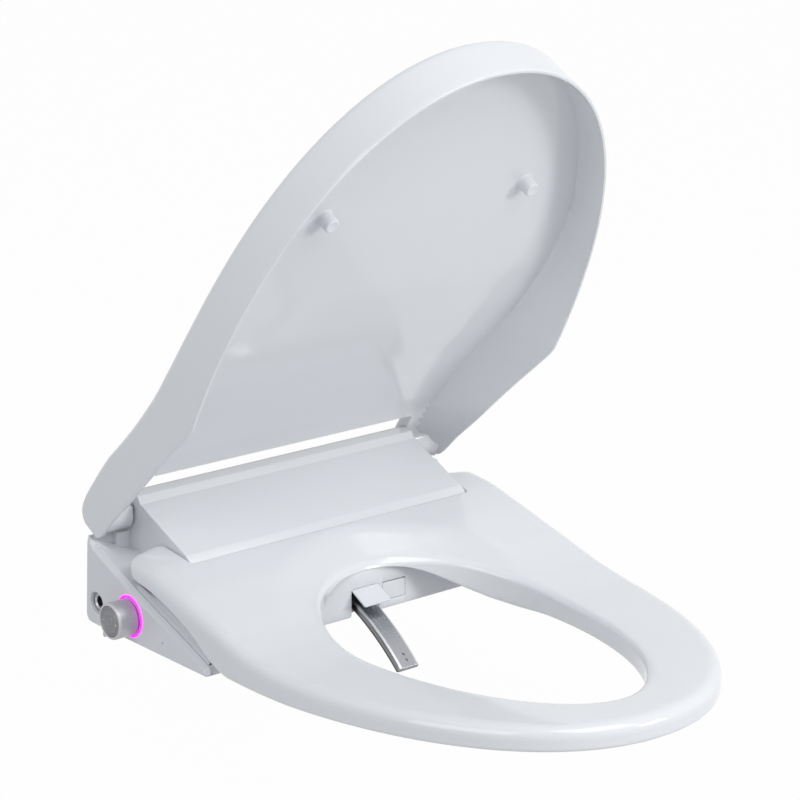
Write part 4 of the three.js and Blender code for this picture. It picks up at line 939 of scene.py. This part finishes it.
def makePanels(look, port):
    ys = np.linspace(-154.6, 4.4, 50)
    for side, label in sides:
        drop = rightDropAt(look, ys, side)
        slope = [(y, z, 0) for y, z in zip(ys, look["edge"](ys) - drop + 0.4)]
        corners = [(14.4, 0.4, 7.5), (9.6, float(look["edge"](9.6)) - drop[-1] + 2.0, 3.0)] + slope[::-1]
        outline = evenly(rounded(corners + [(-157.0, 2.2, 0.8), (-153.5, 0.4, 1.6)], 8), 2.5)
        holes = [circle(port["y"], port["z"], port["radius"] if side < 0 else port["glandRadius"], 48)]
        insets = [[0.3, 0.8, 1.5, 2.4, 3.4, 4.4, 5.4], [0.3, 0.8, 1.4]]
        if side < 0:
            holes.append(circle(port["pipY"], port["pipZ"], port["pipRadius"], 20))
            insets.append([0.3])
        area = Area(outline, holes, insets, 5.0)
        fromEdge = farFrom(area.points, outline)
        y = area.points[:, 0]
        onSlope = ease((area.points[:, 1] - look["edge"](y) + 8) / 6) * (1 - ease((y - 1) / 6))
        wide = 2.0 + (look["bevel"](y) - 1.4) * onSlope
        fall = np.clip(1 - fromEdge / wide, 0, 1) ** (2.2 - 1.2 * onSlope)
        top = look["halfWidth"] - fall * (1.5 + 2.5 * onSlope)
        for hole in holes:
            top -= roundOff(farFrom(area.points, hole), 0.8, 0.5)
        under = np.minimum(look["panelInnerX"], top - 0.8)
        panel = facing(area.slab(top, under, 4), side).piece("panel_" + label, 24)
        finished(panel, "base", "white_satin", "side_panel_" + label)
        # the case's own cheek behind the panel, a little smaller all round
        area = Area(outline, holes[:1], [[1.5], [0.5]], 8.0)
        flat = np.full(len(area.points), look["caseHalfWidth"])
        cheek = area.slab(flat - 0.8, flat - look["wall"], 1)
        centre = np.append(outline.mean(0), 0.0)
        cheek.points = (cheek.points - centre) * [0.97, 0.95, 1.0] + centre
        finished(facing(cheek, side).piece("case_cheek_" + label, 40), "base", "white_gloss")


doorLook = dict(left=-13.4, right=16.0, top=24.4, dryerLeft=19.3, dryerRight=44.7, dryerTop=23.8, dryerBottom=6.9,
                seatGap=0.9)


def makeFrontWall(look, door):
    # its upper edge follows the seat's underside, a little lower
    reach, footZ = look["housingX"] - look["wallInset"], 0.2
    across = np.linspace(reach, -reach, 60)
    places = np.column_stack([across, np.full(60, look["frontY"] + 0.8)])
    _, under = seatHeights(seatLook, places, seatOutline(seatLook), seatHole(seatLook))
    left, right, top = door["left"], door["right"], door["top"]
    corners = [(-reach, footZ, 0), (left, footZ, 0), (left, top, 1.5), (right, top, 1.5), (right, footZ, 0),
               (reach, footZ, 0)] + [(x, z - door["seatGap"], 0) for x, z in zip(across, under)]
    outline = evenly(rounded(corners, 5), 3.0)
    left, right, top, bottom = [door["dryer" + edge] for edge in ("Left", "Right", "Top", "Bottom")]
    corners = [(left, bottom, 0.8), (right, bottom, 0.8), (right, top, 1.0), (left, top, 1.0)]
    window = evenly(rounded(corners, 5), 1.5)
    area = Area(outline, [window], [[0.4], [0.4]], 6.0)
    edge = np.minimum(farFrom(area.points, outline), farFrom(area.points, window))
    front = -look["frontY"] - roundOff(edge, 0.4, 0.3)
    back = np.full(len(front), -look["frontY"] - 2.5)
    shape = area.slab(front, back, 2)
    p = shape.points
    shape.points = np.column_stack([p[:, 0], -p[:, 2], p[:, 1]])
    return finished(shape.piece("front_wall_body", 40), "base", "white_satin", "front_wall")


makeCover(coverLook)
makeCase(baseLook)
makePanels(baseLook, portLook)
makeFrontWall(baseLook, doorLook)
print("base made")


# ---- nozzle and flaps ----

_, swingY, swingZ = np.array(jointNamed("nozzle_swing")["pos_m"]) / mm
nozzleLook = dict(
    x=tubeLook["x"], centreY=swingY, centreZ=swingZ, radius=221.0, rootAngle=14.49, tipAngle=43.05,
    jets=(40.3, 41.75), jetRadius=1.25, endLength=0.38,
    section=[(-8.3, 0.0), (8.3, 0.0), (9.7, -0.9), (10.3, -1.9), (10.5, -2.8), (10.5, -4.6), (-10.5, -4.6),
             (-10.5, -2.8), (-10.3, -1.9), (-9.7, -0.9)],
    belly=[(-10.2, -4.4), (10.2, -4.4), (10.2, -6.4), (9.5, -7.5), (8.3, -8.0), (-8.3, -8.0), (-9.5, -7.5),
           (-10.2, -6.4)],
)


def alongArc(look, degrees, x, rise, ahead=0.0):
    # a point over the nozzle's outer curve: across, above it, and ahead along it
    a = math.radians(degrees)
    r = look["radius"] + rise
    return (look["x"] + x, look["centreY"] - r * math.sin(a) - ahead * math.cos(a),
            look["centreZ"] + r * math.cos(a) - ahead * math.sin(a))


def sweptAlong(look, name, section, first, last, slotName, nodes=(), finish=None, tip=1.2):
    # a section carried along the curve, drawn in a little over its last stretch
    section = np.array(section)
    middle = section.mean(0)
    rows = [[alongArc(look, a, x, rise) for x, rise in section] for a in np.linspace(first, last, 34)]
    for ahead, size in ((0.35 * tip, 0.992), (0.75 * tip, 0.965), (tip, 0.91)):
        rows.append([alongArc(look, last, x, rise, ahead) for x, rise in middle + (section - middle) * size])
    return finished(Shape().tube(rows).piece(name, 24), "nozzle", slotName, *nodes, finish=finish)


def makeNozzle(look):
    root, tip = look["rootAngle"], look["tipAngle"]
    sweptAlong(look, "nozzle_tube", look["section"], root, tip, "steel", ["nozzle_sleeve"], "tube")
    sweptAlong(look, "nozzle_belly", look["belly"], root + 0.2, tip - 0.1, "dark_plastic", ["nozzle_core"], tip=0.9)
    front = [(x * 0.965, rise * 0.93 - 0.28) for x, rise in look["section"]]
    sweptAlong(look, "nozzle_end", front, tip, tip + look["endLength"], "grey_plastic", tip=0.5)
    for number, angle in enumerate(look["jets"], 1):
        r = look["jetRadius"]
        rim = [(-0.5, r + 0.5), (0.06, r + 0.45), (0.14, r + 0.2), (0.10, r), (-0.5, r - 0.1)]
        well = [(-0.5, r + 0.05), (0.03, r), (0.03, 0.6), (-0.1, 0.4), (-0.12, 0.05)]
        for part, profile, slotName, ends in (("rim", rim, "steel", ()), ("well", well, "dark_plastic", (-1,))):
            rows = [[alongArc(look, angle, x, rise, ahead) for x, ahead, rise in row]
                    for row in lathe(profile, (0, 0, 0), "z", 28)]
            finished(Shape().tube(rows, ends).piece("jet_%s_%d" % (part, number), 40), "nozzle", slotName)


flapLooks = [dict(name=name, x=x, halfWidth=halfWidth, height=height, openAngle=openAngle, thickness=1.6, lip=0.9)
             for name, x, halfWidth, height, openAngle in (("nozzle", 1.3, 14.0, 19.8, 62.0),
                                                           ("dryer", 32.0, 12.35, 15.0, 0.0))]


def makeFlap(look):
    # drawn hanging from its hinge, then swung to where it stands
    hinge = jointNamed(look["name"] + "_flap_hinge")
    x, halfWidth, height = look["x"], look["halfWidth"], look["height"]
    outline = evenly(rounded([(x - halfWidth, -height, 1.2), (x + halfWidth, -height, 1.2),
                              (x + halfWidth, 0.7, 0.4), (x - halfWidth, 0.7, 0.4)], 5), 1.6)
    area = Area(outline, [], [[0.25, 0.6, 1.1, 1.8]], 3.0)
    edge = farFrom(area.points, outline)
    z = area.points[:, 1]
    lip = look["lip"] * ease((-z - height + 3.2) / 1.6)
    front = look["thickness"] / 2 - roundOff(edge, 0.6, 0.5)
    back = -look["thickness"] / 2 + roundOff(edge, 0.4, 0.3) - lip * (edge > 0.5)
    shape = area.slab(front, back, 2)
    a = math.radians(look["openAngle"])
    x, z, y = shape.points.T * [[1], [1], [-1]]
    _, pivotY, pivotZ = hinge["pos_m"]
    shape.points = np.column_stack([x, pivotY / mm + y * math.cos(a) + z * math.sin(a),
                                    pivotZ / mm - y * math.sin(a) + z * math.cos(a)])
    return finished(shape.piece(look["name"] + "_lid", 40), hinge["child"], "white_satin", look["name"] + "_flap")


makeNozzle(nozzleLook)
for look in flapLooks:
    makeFlap(look)
print("nozzle and flaps made")


# ---- knob, light ring, water inlet and cable gland ----

knobLook = dict(y=-51.5, z=22.8, back=-190.1, front=-208.7, radius=15.5, capRadius=12.6, tabAngle=-58.0,
                markRadius=9.0)


def makePointer(look, root):
    # a small tab on the rim, drawn along its own direction and turned to its angle
    front, tip = look["front"], root + 3.5
    a = math.radians(look["tabAngle"])
    outline = rounded([(-2.2, root, 0), (2.2, root, 0), (1.5, tip, 0.9), (-1.5, tip, 0.9)], 5)
    rows = []
    for deep, size in ((0.1, 0.86), (0.4, 0.96), (0.9, 1.0), (3.6, 1.0), (4.2, 0.9)):
        out, across = root + (outline[:, 1] - root) * size, outline[:, 0] * size
        rows.append(np.column_stack([np.full(len(out), front + deep),
                                     look["y"] + out * math.cos(a) - across * math.sin(a),
                                     look["z"] + out * math.sin(a) + across * math.cos(a)]))
    finished(Shape().tube(rows).piece("knob_pointer", 35), "knob", "knob_metal")


def makeKnob(look):
    back, front, r, cap = look["back"], look["front"], look["radius"], look["capRadius"]
    centre = (0, look["y"], look["z"])
    profile = [(back - 4, 3.4), (back, 3.4), (back, r - 1.2), (back - 0.3, r - 0.6), (back - 0.9, r - 0.35),
               (front + 2.4, r), (front + 1.3, r - 0.12), (front + 0.5, r - 0.5), (front + 0.1, r - 1.1),
               (front, r - 1.7), (front + 0.05, cap + 0.5), (front + 0.5, cap + 0.25), (front + 1.6, cap + 0.2)]
    finished(turned("knob_shell", profile, centre, "x", 96, 40), "knob", "knob_metal", "knob_body")
    face = [(front + 1.5, cap), (front + 0.3, cap - 0.05), (front + 0.05, cap - 0.4), (front, cap - 0.9),
            (front - 0.02, 10.9), (front + 0.22, 10.7), (front + 0.22, 10.4), (front - 0.02, 10.2),
            (front + 0.02, 4.6), (front + 0.2, 4.4), (front + 0.2, 4.15), (front, 3.95), (front - 0.02, 1.5),
            (front + 0.25, 1.3), (front + 0.3, 0.05)]
    # the face takes the darker copy of the knob metal, which is painted shade
    disc = turned("knob_face", face, centre, "x", 96, 40, (-1,))
    finished(disc, "knob", "knob_metal", "knob_cap", finish="knob_face")
    makePointer(look, r - 1.0)
    for name, side, bars in (("minus", 1, [(2.2, 0.55)]), ("plus", -1, [(2.2, 0.55), (0.55, 2.2)])):
        mark = Shape()
        for wide, tall in bars:
            corners = rounded([(wide / 2 * u, tall / 2 * v, 0.2) for u, v in ((-1, -1), (1, -1), (1, 1), (-1, 1))], 3)
            y, z = look["y"] + side * look["markRadius"], look["z"] - 0.6
            mark.tube([[(front + deep, y + u * size, z + v * size) for u, v in corners]
                       for deep, size in ((0.1, 1.0), (-0.03, 1.0), (-0.07, 0.85))], (-1,))
        finished(mark.piece("knob_mark_" + name, 30), "knob", "soft_white")


def makeRing(look):
    base, inner, outer = look["base"], look["ringInner"], look["ringOuter"]
    middle = (inner + outer) / 2 + 0.1
    profile = [(base, inner), (base - 0.8, inner + 0.05), (base - 1.15, inner + 0.35), (base - 1.25, middle - 0.5),
               (base - 1.05, middle - 0.15), (base - 1.05, middle + 0.1), (base - 1.25, middle + 0.35),
               (base - 1.1, outer - 0.3), (base - 0.75, outer - 0.05), (base, outer)]
    ring = turned("glow_ring", profile, (0, look["y"], look["z"]), "x", 96, 60)
    finished(ring, "base", "light", "light_ring")


def makeInlet(look):
    centre = (0, look["y"], look["z"])
    front, back = -185.3, -155.5
    profile = [(back, 0.1), (back, 8.2)]
    for k in range(9):
        x = front + 3.0 + (8 - k) * 2.0
        profile += [(x + 1.0, 7.5), (x + 0.45, 8.25), (x + 0.05, 8.25)]
    profile += [(front + 2.4, 7.6), (front + 0.8, 7.9), (front + 0.2, 7.7), (front, 7.3), (front, 6.4),
                (front + 0.5, 6.1), (front + 0.7, 5.6), (front + 0.4, 5.2), (front + 1.0, 4.8), (front + 7.0, 4.6),
                (front + 26.0, 4.6), (front + 26.0, 0.1)]
    tube = turned("inlet_tube", profile, centre, "x", 64, 30)
    finished(tube, "base", "steel", "water_inlet", finish="inlet_metal")
    lining = [(front + 0.2, 9.05), (front - 1.6, 9.05), (front - 1.75, 8.8), (front - 1.6, 8.6), (front + 0.2, 8.6),
              (front + 0.2, 9.05)]
    finished(turned("inlet_collar", lining, centre, "x", 64, 40), "base", "white_satin")


def makeGland(look):
    centre = (0, look["y"], look["z"])
    profile = [(178.0, 3.7), (178.0, 5.6), (178.4, 5.9), (188.1, 5.9), (188.3, 7.8), (188.7, 8.0), (190.0, 8.0),
               (190.3, 7.6), (190.3, 6.0)]
    for k in range(3):
        x = 190.8 + 2.0 * k
        profile += [(x, 5.9 - 0.4 * k), (x + 0.3, 6.1 - 0.45 * k), (x + 1.1, 6.0 - 0.45 * k), (x + 1.3, 5.1 - 0.4 * k)]
    profile += [(196.8, 4.6), (197.0, 4.3), (196.9, 3.8), (196.0, 3.6), (178.0, 3.6)]
    finished(turned("gland_sleeve", profile, centre, "x", 64, 35), "base", "dark_plastic", "cable_gland")


makeKnob(knobLook)
makeRing(ringLook)
makeInlet(portLook)
makeGland(portLook)
print("knob, ring, inlet and gland made")


# ---- underside of the seat ----

soleLook = dict(inset=4.5, cut=4.0, grow=1.04, proud=0.25, bumpers=[("front", 95.0, -390.0), ("rear", 142.0, -215.0)],
                bumperRadius=9.0, bumperTop=5.6)


def makeSole(look):
    area = ringArea(seatLook, look["inset"], look["cut"], look["grow"], [0.5, 1.2])
    edge = np.minimum(*[farFrom(area.points, line) for line in area.lines])
    _, under = seatHeights(seatLook, area.points, seatOutline(seatLook), seatHole(seatLook))
    sole = area.slab(under + 2.0, under - look["proud"] + roundOff(edge, 1.2, 0.5), 1).piece("seat_sole", 40)
    finished(sole, "seat", "white_satin", "seat_bottom_shell")
    r, top = look["bumperRadius"], look["bumperTop"]
    profile = [(top, 0.1), (top, r - 0.6), (top - 1.2, r), (1.4, r), (0.5, r - 0.4), (0.1, r - 1.2), (0.0, r - 2.0),
               (0.5, r - 3.6), (0.6, 0.1)]
    for place, x, y in look["bumpers"]:
        for side, label in sides:
            where = "%s_%s" % (place, label)
            foot = turned("seat_foot_" + where, profile, (side * x, y, 0), "z", 48, 45, (0, -1))
            finished(foot, "seat", "soft_white", "seat_bumper_" + where)


makeSole(soleLook)
print("seat underside made")


# ---- floor, light and camera ----

studio = dict(floorZ=-95.0, floorReach=6000.0, floorShare=0.98, floorColour=(0.62, 0.625, 0.635), skyLight=0.475,
              skyColour=(0.93, 0.965, 1.0))


def plainBackdrop(name, colour):
    # white where the camera, glossy and clear surfaces look at it, pale and shadowed otherwise
    shading = Shading(name)
    pale = shading.node("ShaderNodeBsdfDiffuse", None, {"Color": colour})
    white = shading.node("ShaderNodeEmission", None, {"Color": (1.0, 1.0, 1.0), "Strength": 1.0})
    return shading.surface(studio["floorShare"] * shading.seenPlainly(), pale, white)


far = studio["floorReach"]
floorShape = Shape()
floorShape.grid([[(x, y, studio["floorZ"]) for x in (-far, far)] for y in (-far, far)])
floor = floorShape.piece("floor")
floor.data.materials.append(plainBackdrop("pale floor", studio["floorColour"]))


def lightSky(look):
    # plain white to look at, a soft pale light otherwise
    scene.world = scene.world or bpy.data.worlds.new("studio")
    shading = Shading(world=scene.world)
    soft, white = [shading.node("ShaderNodeBackground", None, {"Color": colour, "Strength": strength})
                   for colour, strength in ((look["skyColour"], look["skyLight"]), ((1.0, 1.0, 1.0), 1.0))]
    return shading.surface(shading.seenPlainly(), soft, white)


def stood(name, data, place, aim):
    # a lamp or a camera put at a place and pointed at another
    holder = bpy.data.objects.new(name, data)
    scene.collection.objects.link(holder)
    holder.location = Vector(place) * mm
    holder.rotation_mode = "QUATERNION"
    holder.rotation_quaternion = (Vector(aim) - Vector(place)).to_track_quat("-Z", "Y")
    return holder


def softBox(name, place, aim, width, power, colour=(1.0, 1.0, 1.0)):
    lamp = bpy.data.lights.new(name, "AREA")
    lamp.shape = "SQUARE"
    lamp.size = width * mm
    lamp.energy = power
    lamp.color = colour
    return stood(name, lamp, place, aim)


lightSky(studio)
softBox("overhead light", (150, -1650, 2000), (0, -200, 80), 1500, 21.5)
softBox("key light", (1160, -2255, 840), (0, -250, 200), 650, 20.5, (1.0, 0.995, 0.985))
softBox("fill light", (-2000, -950, 1350), (0, -150, 100), 1600, 15, (0.985, 0.99, 1.0))

cameraLook = dict(place=(-1462.5, -1934.7, 863.5), aim=(0.0, -168.3, 197.2), lens=133.19, sensor=36.0)
cameraData = bpy.data.cameras.new("camera")
cameraData.lens = cameraLook["lens"]
cameraData.sensor_width = cameraLook["sensor"]
cameraData.clip_start, cameraData.clip_end = 0.05, 50.0
scene.camera = stood("camera", cameraData, cameraLook["place"], cameraLook["aim"])
scene.view_settings.view_transform = "Standard"
print("stage, lights and camera made")
